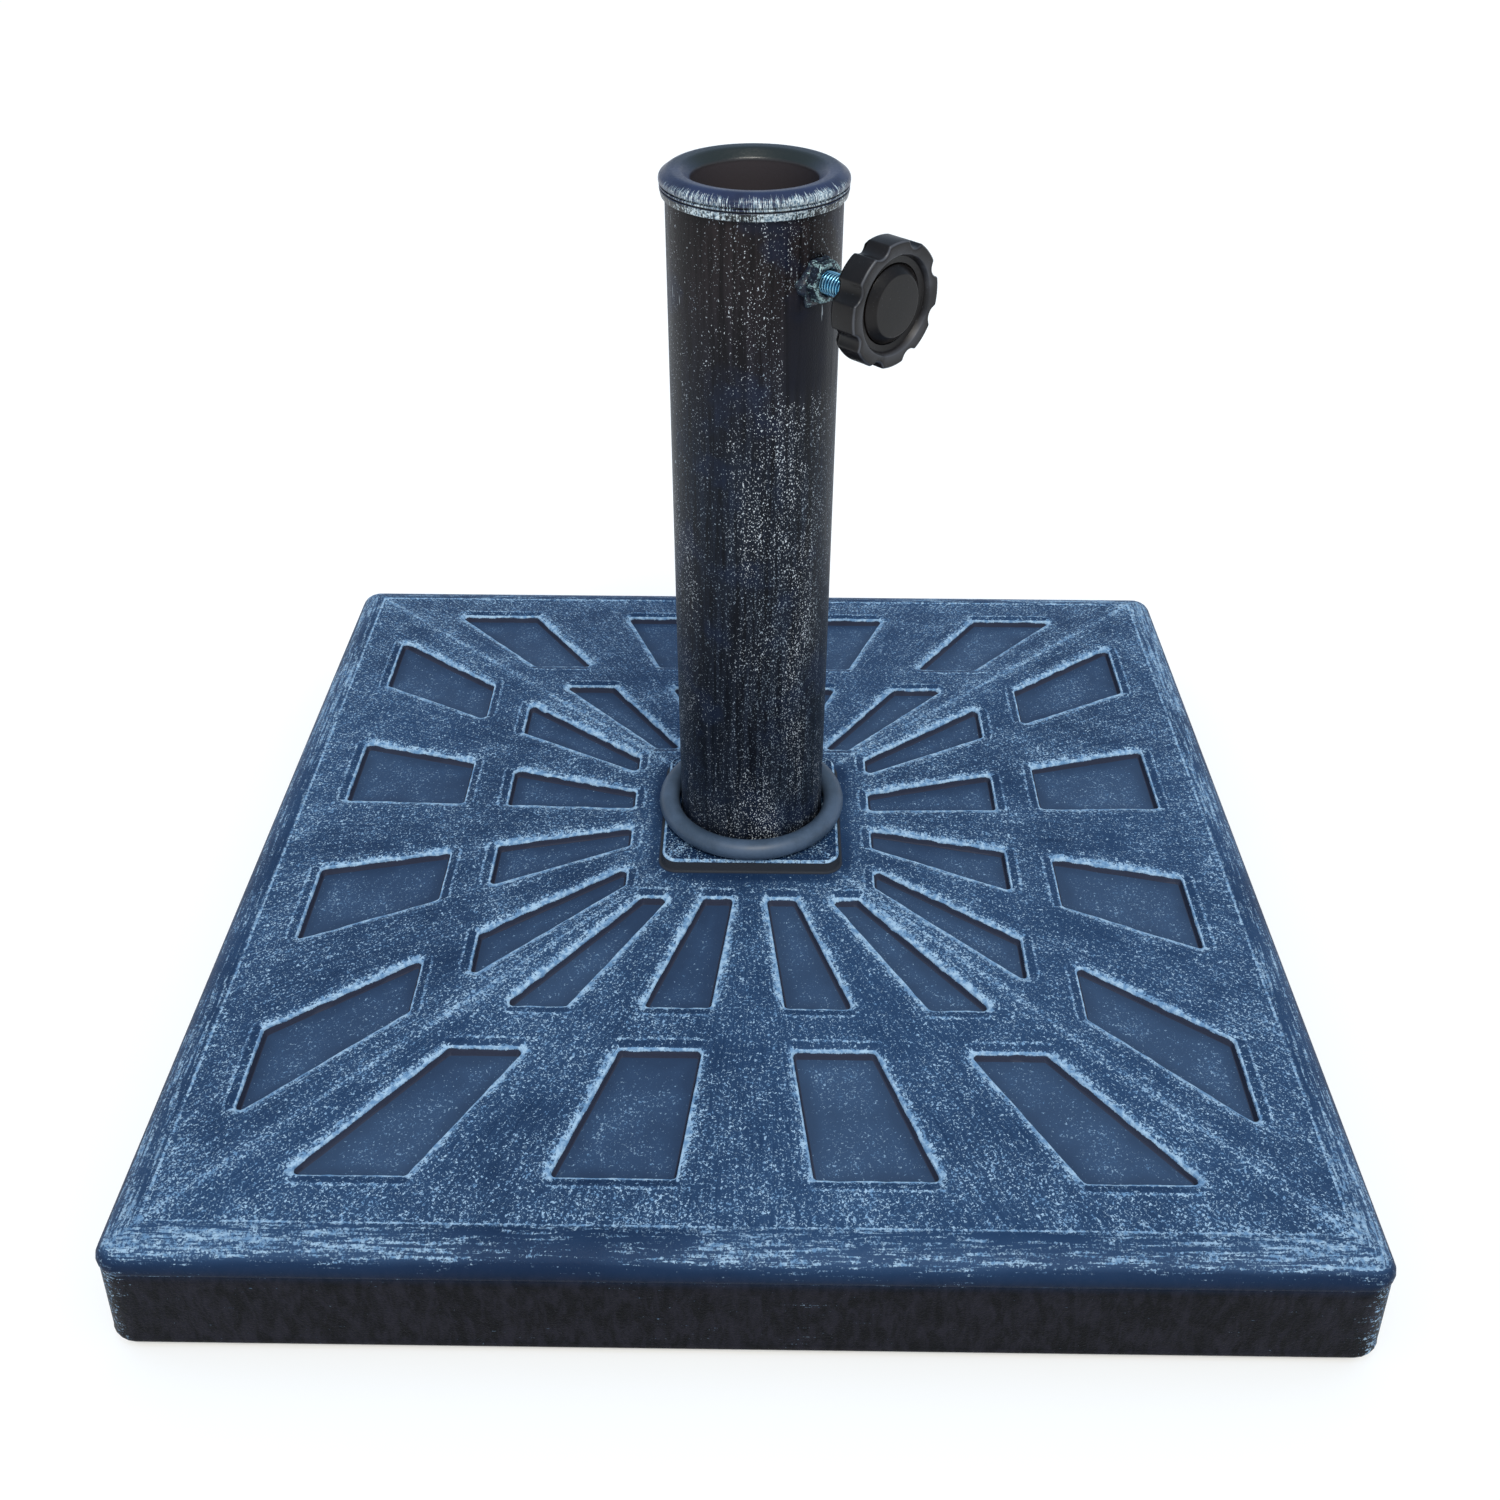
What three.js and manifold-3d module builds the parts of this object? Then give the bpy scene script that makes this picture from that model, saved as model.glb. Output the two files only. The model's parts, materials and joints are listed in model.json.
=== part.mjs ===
// Parasol base: a square cast-resin slab with a sunray relief, and a steel mast with a clamp screw.
// Millimetres, +Z up. The origin is on the ground, on the mast's axis; -Y is the front.

import * as THREE from 'three';
import { mergeVertices } from 'three/addons/utils/BufferGeometryUtils.js';
import Module from 'manifold-3d';

const wasm = await Module();
wasm.setup();

// Driving dimensions

const GAP = 0.3;               // space left between pieces that touch

const SLAB_SIDE = 449;         // across the parting line
const SLAB_DRAFT = 0.053;      // lean of the sides below it, out over down
const SLAB_BOTTOM_Z = 2;       // the rubber feet stand this much proud of the slab
const SLAB_APEX_Z = 67;        // where the four sloping faces of the top would meet
const SLAB_SLOPE = 0.08;       // fall of the top faces, height over distance
const SLAB_CORNER_R = 11;
const EDGE_WIDTH = 15.5;       // rounding between the top and the sides, across
const EDGE_HEIGHT = 10.8;      // the same rounding, up and down
const PARTING_Z = 39.5;        // where the rounding runs into the sides
const SHELL_WALL = 9;

const POCKET_DEPTH = 4;
const POCKET_CORNER_R = 3;
const POCKET_RINGS = [[53, 112.5], [133, 190]];  // inner and outer distance from the axis
// the pockets' sides run out from the axis: offset sideways over distance
const POCKET_SLOPES = [[-0.863, -0.634], [-0.37, -0.128], [0.128, 0.37], [0.634, 0.863]];

const PAD_SIDE = 77;
const PAD_CORNER_R = 7;
const PAD_TOP_Z = 69.5;

const MAST_R = 31;
const MAST_WALL = 1.5;
const MAST_INNER_R = MAST_R - MAST_WALL;
const MAST_TOP_Z = 341.5;
const SOCKET_R = MAST_R + 2 * GAP;
const SOCKET_FLOOR_Z = 36;     // the mast stands on this floor inside the slab

const COLLAR_R = 33;
const COLLAR_BORE_R = 22;
const COLLAR_TOP_Z = 347;
const COLLAR_CROWN = 2.6;      // rise of the lip's rounded top
const COLLAR_GROOVE_Z = 341.6;
const COLLAR_BOTTOM_Z = 338;
const COLLAR_SKIRT_Z = 326;

const RING_R = 36.1;           // trim ring at the mast's foot, centre line of its round section
const RING_SECTION_R = 4.6;

const ANCHOR_BOLT_R = 5;       // M10
const ANCHOR_BOLT_TOP_Z = 52;
const ANCHOR_BORE_R = ANCHOR_BOLT_R + 2 * GAP;
const ANCHOR_HEAD_AF = 16;     // across the flats
const ANCHOR_HEAD_THICK = 6.4;
const ANCHOR_NUT_AF = 17;
const ANCHOR_NUT_THICK = 8;
const ANCHOR_RECESS_Z = 20;    // ceiling of the recess under the slab
const ANCHOR_RECESS_SIDE = 60;
const ANCHOR_PLATE_SIDE = 54;
const PLATE_THICK = 4;
const SPRING_WASHER_R = 9;
const SPRING_WASHER_THICK = 2.2;

const POLE_SEAT_Z = 62;
const POLE_SEAT_RIM = 6;       // height of the dished top's rim over its middle
const POLE_SEAT_ROOF = 5;      // thickness over the hollow
const POLE_SEAT_HOLLOW_R = 15;

const CLAMP_Z = 316;
const CLAMP_AZIMUTH = THREE.MathUtils.degToRad(-45);
const CLAMP_BOLT_R = 4;        // M8
const CLAMP_HOLE_R = 4.6;      // in the mast
const CLAMP_BORE_R = 4.4;      // in the nut, the knob and the thrust cap
const CLAMP_NUT_AF = 13;
const CLAMP_NUT_BACK = MAST_R + 1.5 * GAP;
const CLAMP_NUT_THICK = 5;
const THRUST_CAP_R = 5.5;
const THRUST_CAP_FRONT = MAST_INNER_R - 6;
const THRUST_CAP_BACK = MAST_INNER_R - 1;
const THRUST_CAP_FLOOR = 2;
const KNOB_BACK = 55;          // distance from the mast's axis to the back of the knob
const KNOB_R = 21;
const KNOB_THICK = 11.8;
const KNOB_HUB = 3;            // height of the hub behind the knob
const KNOB_WELL = 9.4;         // height of the well's floor in the knob's face
const KNOB_CAP_R = 13.1;
const KNOB_CAP_BACK = 7.5;
const KNOB_FLUTES = 8;
const KNOB_FLUTE_R = 4;
const KNOB_FLUTE_DEPTH = 2.1;

const FOOT_R = 20;
const FOOT_THICK = 5.4;
const FOOT_CHAMFER = 1.5;
const FOOT_PLACE = 178;        // distance of a foot's centre from the axis, along X and along Y

const ROUND = 48;              // segments of a large turned piece
const SMALL_ROUND = 24;        // segments of a small piece or a bore

// Geometry helpers

function toSolid(geometry) {
  const bare = geometry.clone();
  bare.deleteAttribute('normal');
  bare.deleteAttribute('uv');
  const merged = mergeVertices(bare, 1e-4);
  const mesh = new wasm.Mesh({
    numProp: 3,
    vertProperties: new Float32Array(merged.attributes.position.array),
    triVerts: new Uint32Array(merged.index.array),
  });
  return new wasm.Manifold(mesh);
}

function toGeometry(solid) {
  const mesh = solid.getMesh();
  const geometry = new THREE.BufferGeometry();
  geometry.setAttribute('position', new THREE.BufferAttribute(new Float32Array(mesh.vertProperties), 3));
  geometry.setIndex(new THREE.BufferAttribute(new Uint32Array(mesh.triVerts), 1));
  geometry.computeVertexNormals();
  return geometry;
}

function cut(geometry, ...tools) {
  const left = tools.reduce((solid, tool) => solid.subtract(toSolid(tool)), toSolid(geometry));
  return toGeometry(left);
}

function join(geometry, other) {
  return toGeometry(toSolid(geometry).add(toSolid(other)));
}

function common(geometry, ...others) {
  const shared = others.reduce((solid, other) => solid.intersect(toSolid(other)), toSolid(geometry));
  return toGeometry(shared);
}

// A turned piece about Z. The profile holds [radius, z] points, with the material on their left.
function turned(profile, segments = ROUND) {
  const points = profile.map(([radius, z]) => new THREE.Vector2(radius, z));
  return new THREE.LatheGeometry(points, segments).rotateX(Math.PI / 2);
}

function rod(radius, fromZ, toZ, segments = SMALL_ROUND) {
  return new THREE.CylinderGeometry(radius, radius, toZ - fromZ, segments)
    .rotateX(Math.PI / 2)
    .translate(0, 0, (fromZ + toZ) / 2);
}

function hexRod(acrossFlats, fromZ, toZ) {
  return rod(acrossFlats / Math.sqrt(3), fromZ, toZ, 6);
}

function block(side, fromZ, toZ) {
  return new THREE.BoxGeometry(side, side, toZ - fromZ).translate(0, 0, (fromZ + toZ) / 2);
}

function extruded(shape, fromZ, toZ, options = {}) {
  const settings = { depth: toZ - fromZ, bevelEnabled: false, curveSegments: 5, ...options };
  return new THREE.ExtrudeGeometry(shape, settings).translate(0, 0, fromZ);
}

// A polygon whose corners are rounded by curves that start the given distance before each corner.
function roundedPolygon(corners, corner) {
  const shape = new THREE.Shape();
  corners.forEach((point, i) => {
    const before = corners[(i + corners.length - 1) % corners.length];
    const after = corners[(i + 1) % corners.length];
    const start = point.clone().add(before.clone().sub(point).setLength(corner));
    const end = point.clone().add(after.clone().sub(point).setLength(corner));
    if (i === 0) {
      shape.moveTo(start.x, start.y);
    } else {
      shape.lineTo(start.x, start.y);
    }
    shape.quadraticCurveTo(point.x, point.y, end.x, end.y);
  });
  shape.closePath();
  return shape;
}

function squareCorners(side) {
  const half = side / 2;
  return [[-half, -half], [half, -half], [half, half], [-half, half]]
    .map(([x, y]) => new THREE.Vector2(x, y));
}

function squareShape(side, cornerR) {
  return roundedPolygon(squareCorners(side), cornerR);
}

// Moves a piece made along +Z about the origin onto the clamp screw's axis.
function onClampAxis(geometry) {
  return geometry.rotateY(Math.PI / 2).rotateZ(CLAMP_AZIMUTH).translate(0, 0, CLAMP_Z);
}

// Everything that lies under the four sloping faces which would meet at this height.
function underSlopes(apexZ) {
  const reach = apexZ / SLAB_SLOPE;
  return new THREE.ConeGeometry(reach * Math.SQRT2, apexZ, 4)
    .rotateX(Math.PI / 2)
    .rotateZ(Math.PI / 4)
    .translate(0, 0, apexZ / 2);
}

// Leans the sides out below the parting line, so that the slab draws from its mould.
function drafted(geometry) {
  const place = geometry.attributes.position;
  for (let i = 0; i < place.count; i += 1) {
    const drop = Math.max(PARTING_Z - place.getZ(i), 0);
    const stretch = 1 + SLAB_DRAFT * drop / (SLAB_SIDE / 2);
    place.setXY(i, place.getX(i) * stretch, place.getY(i) * stretch);
  }
  return geometry;
}

// The slab's outer form, or the same form with every face moved inwards.
function slabForm(inset, bottomZ) {
  const side = SLAB_SIDE - 2 * inset;
  const flatSide = side - 2 * EDGE_WIDTH;
  const partingZ = PARTING_Z - inset;
  const rounded = extruded(new THREE.Shape(squareCorners(flatSide)), bottomZ, partingZ, {
    bevelEnabled: true,
    bevelThickness: EDGE_HEIGHT,
    bevelSize: EDGE_WIDTH,
    bevelSegments: 7,
  });
  const middle = block(flatSide, bottomZ, SLAB_APEX_Z);
  const sides = extruded(squareShape(side, SLAB_CORNER_R), bottomZ, SLAB_APEX_Z);
  return drafted(common(join(rounded, middle), sides, underSlopes(SLAB_APEX_Z - inset)));
}

// Slab

function pocketShape([inner, outer], [low, high]) {
  const corners = [[low, inner], [low, outer], [high, outer], [high, inner]];
  return roundedPolygon(
    corners.map(([slope, distance]) => new THREE.Vector2(slope * distance, -distance)),
    POCKET_CORNER_R,
  );
}

// Tools that cut all the pockets, with floors that follow the sloping top.
function pocketTools() {
  const outlines = POCKET_RINGS.flatMap((ring) => POCKET_SLOPES.map((slopes) => pocketShape(ring, slopes)));
  const oneSide = outlines.map((outline) => toSolid(extruded(outline, SLAB_BOTTOM_Z, SLAB_APEX_Z)));
  const floor = toSolid(underSlopes(SLAB_APEX_Z - POCKET_DEPTH));
  const raised = oneSide.map((solid) => toGeometry(solid.subtract(floor)));
  return [0, 1, 2, 3].flatMap((turn) => raised.map((tool) => tool.clone().rotateZ(turn * Math.PI / 2)));
}

function baseShell() {
  const pad = extruded(squareShape(PAD_SIDE, PAD_CORNER_R), PARTING_Z, PAD_TOP_Z);
  const cavity = slabForm(SHELL_WALL, SLAB_BOTTOM_Z);
  const openingShape = squareShape(SLAB_SIDE - 2 * SHELL_WALL, SLAB_CORNER_R);
  const opening = drafted(extruded(openingShape, 0, SLAB_BOTTOM_Z + 1));
  const mastHole = rod(SOCKET_R, SLAB_BOTTOM_Z, PAD_TOP_Z + 1, ROUND);
  const body = join(slabForm(0, SLAB_BOTTOM_Z), pad);
  return cut(body, cavity, opening, mastHole, ...pocketTools());
}

function footPlaces() {
  return [[1, 1], [-1, 1], [-1, -1], [1, -1]].map(([x, y]) => [x * FOOT_PLACE, y * FOOT_PLACE]);
}

function concreteFill() {
  const socket = rod(SOCKET_R, SOCKET_FLOOR_Z, SLAB_APEX_Z, ROUND);
  const boltHole = rod(ANCHOR_BORE_R, 0, SLAB_APEX_Z);
  const recess = block(ANCHOR_RECESS_SIDE, 0, ANCHOR_RECESS_Z);
  const footRecesses = footPlaces().map(([x, y]) => (
    rod(FOOT_R + 2 * GAP, 0, FOOT_THICK + GAP).translate(x, y, 0)
  ));
  return cut(slabForm(SHELL_WALL + GAP, SLAB_BOTTOM_Z), socket, boltHole, recess, ...footRecesses);
}

function footPad() {
  return turned([
    [0, 0], [FOOT_R - FOOT_CHAMFER, 0], [FOOT_R, FOOT_CHAMFER], [FOOT_R, FOOT_THICK], [0, FOOT_THICK],
  ], SMALL_ROUND);
}

// Anchor: the bolt that pulls the mast down onto the slab

function anchorPlate() {
  const topZ = ANCHOR_RECESS_Z - GAP;
  const plate = extruded(squareShape(ANCHOR_PLATE_SIDE, 4), topZ - PLATE_THICK, topZ);
  return cut(plate, rod(ANCHOR_BORE_R, 0, topZ + 1));
}

function anchorWasherTopZ() {
  return ANCHOR_RECESS_Z - PLATE_THICK - 2 * GAP;
}

// A split ring, open over the last part of a turn.
function anchorSpringWasher() {
  const split = THREE.MathUtils.degToRad(10);
  const shape = new THREE.Shape();
  shape.absarc(0, 0, SPRING_WASHER_R, split, 2 * Math.PI, false);
  shape.absarc(0, 0, ANCHOR_BORE_R, 2 * Math.PI, split, true);
  shape.closePath();
  const topZ = anchorWasherTopZ();
  return extruded(shape, topZ - SPRING_WASHER_THICK, topZ, { curveSegments: SMALL_ROUND });
}

function anchorBolt() {
  const headTopZ = anchorWasherTopZ() - SPRING_WASHER_THICK - GAP;
  const head = hexRod(ANCHOR_HEAD_AF, headTopZ - ANCHOR_HEAD_THICK, headTopZ);
  return join(head, rod(ANCHOR_BOLT_R, headTopZ - 1, ANCHOR_BOLT_TOP_Z));
}

// Mast

function mastTube() {
  const bottomZ = SOCKET_FLOOR_Z + GAP;
  const tube = turned([
    [MAST_INNER_R, bottomZ], [MAST_R, bottomZ],
    [MAST_R, MAST_TOP_Z], [MAST_INNER_R, MAST_TOP_Z],
    [MAST_INNER_R, bottomZ],
  ]);
  return cut(tube, onClampAxis(rod(CLAMP_HOLE_R, MAST_R / 2, 2 * MAST_R)));
}

function mastFootPlate() {
  const bottomZ = SOCKET_FLOOR_Z + GAP;
  const plate = rod(MAST_INNER_R - GAP, bottomZ, bottomZ + PLATE_THICK, ROUND);
  return cut(plate, rod(ANCHOR_BORE_R, 0, SLAB_APEX_Z));
}

function mastFootTopZ() {
  return SOCKET_FLOOR_Z + PLATE_THICK + 2 * GAP;
}

function mastFootNut() {
  const bottomZ = mastFootTopZ();
  const nut = hexRod(ANCHOR_NUT_AF, bottomZ, bottomZ + ANCHOR_NUT_THICK);
  return cut(nut, rod(ANCHOR_BOLT_R + GAP, 0, SLAB_APEX_Z));
}

// A deep plastic cup, upside down over the nut, with a dished top that centres the pole.
function poleSeat() {
  const outer = MAST_INNER_R - 1.3 * GAP;
  const bottomZ = mastFootTopZ();
  const roofZ = POLE_SEAT_Z - POLE_SEAT_ROOF;
  const rimZ = POLE_SEAT_Z + POLE_SEAT_RIM;
  return turned([
    [0, roofZ], [POLE_SEAT_HOLLOW_R, roofZ], [POLE_SEAT_HOLLOW_R, bottomZ], [outer, bottomZ],
    [outer, rimZ], [outer - 1, rimZ], [COLLAR_BORE_R - 0.5, POLE_SEAT_Z], [0, POLE_SEAT_Z],
  ]);
}

// A ring with a rounded lip, a skirt outside the mast and two walls inside it.
function topCollar() {
  const skirtInner = MAST_R + GAP;
  const flangeZ = MAST_TOP_Z + GAP;
  const plugOuter = MAST_INNER_R - GAP;
  const plugInner = plugOuter - 2;
  const boreOuter = COLLAR_BORE_R + 2.2;
  const lipCentre = (COLLAR_R + COLLAR_BORE_R) / 2;
  const lipHalf = (COLLAR_R - COLLAR_BORE_R) / 2;
  const crownZ = COLLAR_TOP_Z - COLLAR_CROWN;
  const crown = new THREE.EllipseCurve(lipCentre, crownZ, lipHalf, COLLAR_CROWN, 0, Math.PI);
  return turned([
    [COLLAR_BORE_R, COLLAR_SKIRT_Z],
    [boreOuter, COLLAR_SKIRT_Z], [boreOuter, flangeZ],
    [plugInner, flangeZ], [plugInner, COLLAR_SKIRT_Z],
    [plugOuter, COLLAR_SKIRT_Z], [plugOuter, flangeZ],
    [skirtInner, flangeZ], [skirtInner, COLLAR_BOTTOM_Z],
    [COLLAR_R - 0.9, COLLAR_BOTTOM_Z], [COLLAR_R - 0.2, COLLAR_BOTTOM_Z + 1.2],
    [COLLAR_R, COLLAR_GROOVE_Z - 0.8], [COLLAR_R - 0.7, COLLAR_GROOVE_Z - 0.3],
    [COLLAR_R - 0.7, COLLAR_GROOVE_Z + 0.3], [COLLAR_R, COLLAR_GROOVE_Z + 0.8],
    ...crown.getPoints(9).map((point) => [point.x, point.y]),
    [COLLAR_BORE_R, COLLAR_SKIRT_Z],
  ]);
}

function footRing() {
  return new THREE.TorusGeometry(RING_R, RING_SECTION_R, 10, ROUND)
    .translate(0, 0, PAD_TOP_Z + GAP + RING_SECTION_R);
}

// Clamp screw: its pieces are made along +Z, which points away from the mast; z = 0 is the mast's axis

function clampNut() {
  const nut = hexRod(CLAMP_NUT_AF, CLAMP_NUT_BACK, CLAMP_NUT_BACK + CLAMP_NUT_THICK);
  return cut(nut, rod(CLAMP_BORE_R, 0, KNOB_BACK));
}

// The fillet of weld between the nut and the mast, shaped to the mast's round side.
function clampNutWeld() {
  const rootZ = MAST_R - 3;
  const topZ = CLAMP_NUT_BACK + CLAMP_NUT_THICK / 2;
  const bead = turned([[0, rootZ], [10.4, rootZ], [8.4, topZ], [0, topZ]], SMALL_ROUND);
  const nutSpace = hexRod(CLAMP_NUT_AF + 2 * GAP, 0, KNOB_BACK);
  const mastSpace = new THREE.CylinderGeometry(MAST_R + GAP, MAST_R + GAP, 60, ROUND).rotateZ(Math.PI / 2);
  return cut(bead, nutSpace, mastSpace);
}

function thrustCap() {
  const floor = THRUST_CAP_FRONT + THRUST_CAP_FLOOR;
  return turned([
    [0, THRUST_CAP_FRONT], [THRUST_CAP_R - 1, THRUST_CAP_FRONT], [THRUST_CAP_R, THRUST_CAP_FRONT + 1],
    [THRUST_CAP_R, THRUST_CAP_BACK], [CLAMP_BORE_R, THRUST_CAP_BACK], [CLAMP_BORE_R, floor], [0, floor],
  ], SMALL_ROUND);
}

function clampBolt() {
  const tip = THRUST_CAP_FRONT + THRUST_CAP_FLOOR + GAP;
  const chamfer = 0.8;
  const headBack = KNOB_BACK + 1.7;
  const headThick = 5.3;
  const shaft = turned([
    [0, tip], [CLAMP_BOLT_R - chamfer, tip], [CLAMP_BOLT_R, tip + chamfer],
    [CLAMP_BOLT_R, headBack + 1], [0, headBack + 1],
  ], SMALL_ROUND);
  return join(shaft, hexRod(CLAMP_NUT_AF, headBack, headBack + headThick));
}

function knobBody() {
  const headFloor = 1.4;
  const capFloor = KNOB_CAP_BACK - GAP;
  const capHoleR = KNOB_CAP_R + GAP;
  const turnedBody = turned([
    [CLAMP_BORE_R, -KNOB_HUB], [8, -KNOB_HUB], [9, 0], [KNOB_R - 2, 0], [KNOB_R, 1.8],
    [KNOB_R, KNOB_THICK - 1.2], [KNOB_R - 1.2, KNOB_THICK], [15.7, KNOB_THICK], [15.3, KNOB_WELL],
    [capHoleR, KNOB_WELL], [capHoleR, capFloor], [CLAMP_BORE_R, capFloor], [CLAMP_BORE_R, -KNOB_HUB],
  ]);
  const fluteCentre = KNOB_R - KNOB_FLUTE_DEPTH + KNOB_FLUTE_R;
  const flutes = Array.from({ length: KNOB_FLUTES }, (_, i) => (
    rod(KNOB_FLUTE_R, -1, KNOB_THICK + 1)
      .translate(fluteCentre, 0, 0)
      .rotateZ((i + 0.5) * 2 * Math.PI / KNOB_FLUTES)
  ));
  const boltPocket = hexRod(CLAMP_NUT_AF + 2 * GAP, headFloor, capFloor + 1);
  return cut(turnedBody, boltPocket, ...flutes).translate(0, 0, KNOB_BACK);
}

function knobCap() {
  const top = KNOB_THICK + 0.3;
  return turned([
    [0, KNOB_CAP_BACK], [KNOB_CAP_R, KNOB_CAP_BACK], [KNOB_CAP_R, KNOB_WELL], [11, top], [0, top],
  ]).translate(0, 0, KNOB_BACK);
}

// Materials

function material(colour, roughness, metalness = 0) {
  return new THREE.MeshStandardMaterial({ color: colour, roughness, metalness });
}

const antiqueResin = () => material(0x2b3a52, 0.62);
const concrete = () => material(0x8d8b86, 0.95);
const mastPaint = () => material(0x1c1f25, 0.45, 0.2);
const collarPaint = () => material(0x202a3d, 0.38);
const nutPaint = () => material(0x2c3a42, 0.5, 0.3);
const zincPlate = () => material(0x9fb4c4, 0.3, 1);
const weldSteel = () => material(0x333a3e, 0.6, 0.5);
const ringPlastic = () => material(0x2a323f, 0.42);
const knobPlastic = () => material(0x25272b, 0.45);
const seatPlastic = () => material(0x1e1e20, 0.6);
const footRubber = () => material(0x151515, 0.9);

// Assembly

const group = new THREE.Group();

function place(parent, name, geometry, look) {
  const mesh = new THREE.Mesh(geometry, look);
  mesh.name = name;
  parent.add(mesh);
  return mesh;
}

place(group, 'base_shell', baseShell(), antiqueResin());
place(group, 'concrete_fill', concreteFill(), concrete());
footPlaces().forEach(([x, y], i) => {
  place(group, `foot_pad_${i + 1}`, footPad(), footRubber()).position.set(x, y, 0);
});

place(group, 'anchor_plate', anchorPlate(), zincPlate());
place(group, 'anchor_spring_washer', anchorSpringWasher(), zincPlate());
place(group, 'anchor_bolt', anchorBolt(), zincPlate());

place(group, 'mast_tube', mastTube(), mastPaint());
place(group, 'mast_foot_plate', mastFootPlate(), mastPaint());
place(group, 'mast_foot_nut', mastFootNut(), zincPlate());
place(group, 'pole_seat', poleSeat(), seatPlastic());
place(group, 'top_collar', topCollar(), collarPaint());
place(group, 'foot_ring', footRing(), ringPlastic());

const clampTurn = new THREE.Group();
clampTurn.position.z = CLAMP_Z;
clampTurn.rotation.z = CLAMP_AZIMUTH;
group.add(clampTurn);
const clamp = new THREE.Group();
clamp.rotation.y = Math.PI / 2;
clampTurn.add(clamp);

place(clamp, 'clamp_nut', clampNut(), nutPaint());
place(clamp, 'clamp_nut_weld', clampNutWeld(), weldSteel());
place(clamp, 'thrust_cap', thrustCap(), seatPlastic());
place(clamp, 'clamp_bolt', clampBolt(), zincPlate());
place(clamp, 'knob_body', knobBody(), knobPlastic());
place(clamp, 'knob_cap', knobCap(), knobPlastic());

export default group;
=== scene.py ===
"""Parasol base: antique-brushed resin slab, painted mast, collar, trim ring and clamp knob.

Metres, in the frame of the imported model. Detailed meshes replace the plain solids that show.
"""

import json
import math
from types import SimpleNamespace
import bmesh
import bpy
import numpy as np
from mathutils import Matrix, Vector


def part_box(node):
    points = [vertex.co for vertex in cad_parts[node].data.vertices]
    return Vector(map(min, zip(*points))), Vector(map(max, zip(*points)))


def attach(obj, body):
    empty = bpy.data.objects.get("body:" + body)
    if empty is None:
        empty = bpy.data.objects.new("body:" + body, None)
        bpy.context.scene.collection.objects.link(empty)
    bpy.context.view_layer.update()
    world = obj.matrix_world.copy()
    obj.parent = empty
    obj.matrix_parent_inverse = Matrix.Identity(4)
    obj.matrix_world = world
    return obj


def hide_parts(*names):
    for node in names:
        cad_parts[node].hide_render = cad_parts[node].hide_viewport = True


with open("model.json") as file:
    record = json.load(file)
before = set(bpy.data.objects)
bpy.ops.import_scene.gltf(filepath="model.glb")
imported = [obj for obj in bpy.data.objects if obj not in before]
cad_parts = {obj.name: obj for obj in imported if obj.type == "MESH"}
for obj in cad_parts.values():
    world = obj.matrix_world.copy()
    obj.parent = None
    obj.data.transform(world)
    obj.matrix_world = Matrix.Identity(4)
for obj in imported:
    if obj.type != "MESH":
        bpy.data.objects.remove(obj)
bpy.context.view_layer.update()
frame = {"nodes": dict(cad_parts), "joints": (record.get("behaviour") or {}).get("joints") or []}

MM = 0.001


# Frame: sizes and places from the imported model

SHELL_LOW, SHELL_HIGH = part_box("base_shell")
SLAB_HALF = SHELL_HIGH.x
SLAB_BOTTOM = SHELL_LOW.z
PAD_TOP = SHELL_HIGH.z

MAST_LOW, MAST_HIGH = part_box("mast_tube")
MAST_R = MAST_HIGH.x

COLLAR_LOW, COLLAR_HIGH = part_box("top_collar")
RING_LOW, RING_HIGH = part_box("foot_ring")
SEAT_LOW, SEAT_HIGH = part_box("pole_seat")

CLAMP_JOINT = next(j for j in frame["joints"] if j["name"] == "clamp_turn")
CLAMP_OUT = -Vector(CLAMP_JOINT["axis"]).normalized()
CLAMP_CENTRE = Vector(CLAMP_JOINT["pos_m"])
KNOB_R = (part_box("knob_body")[1].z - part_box("knob_body")[0].z) / 2

COLLAR_BAND_Z = 338 * MM             # lower edge of the collar's outer band
COLLAR_BORE_R = 22 * MM

# Slab relief, in metres and slopes

APEX_Z = 67 * MM
TOP_SLOPE = 0.08
PARTING_Z = 39.5 * MM
PARTING_HALF = SLAB_HALF - 2 * MM    # the sides lean out below the parting line
SIDE_DRAFT = 0.06
EDGE_START = SLAB_HALF - 17.5 * MM   # where the top runs into its rounding
EDGE_DROP = 10.8 * MM
CORNER_R = 11 * MM
HIP_R = 2.5 * MM                     # corner radius of the top's outermost loop
SHELL_WALL = 9 * MM
POCKET_DEPTH = 4 * MM
BROW_DEPTH = 0.7 * MM                # fall of the bevel that surrounds each pocket
POCKET_CORNER_R = 2.3 * MM
POCKET_RINGS = ((53 * MM, 112.5 * MM), (133 * MM, 190 * MM))
POCKET_SLOPES = ((0.128, 0.370), (0.634, 0.863))
PAD_HALF = 38.5 * MM
PAD_CORNER_R = 7 * MM
HOLE_R = MAST_R + 0.6 * MM


# Mesh helpers


def new_object(name, verts, faces, attributes=None, sharp=40):
    """A smooth mesh object, with edges over the sharp angle kept crisp."""
    mesh = bpy.data.meshes.new(name)
    mesh.from_pydata([tuple(v) for v in verts], [], faces)
    for key, values in (attributes or {}).items():
        layer = mesh.attributes.new(key, "FLOAT", "POINT")
        layer.data.foreach_set("value", np.asarray(values, np.float32))
    work = bmesh.new()
    work.from_mesh(mesh)
    bmesh.ops.recalc_face_normals(work, faces=work.faces)
    work.to_mesh(mesh)
    work.free()
    mesh.shade_smooth()
    mesh.set_sharp_from_angle(angle=math.radians(sharp))
    piece = bpy.data.objects.new(name, mesh)
    bpy.context.scene.collection.objects.link(piece)
    return piece


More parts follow.
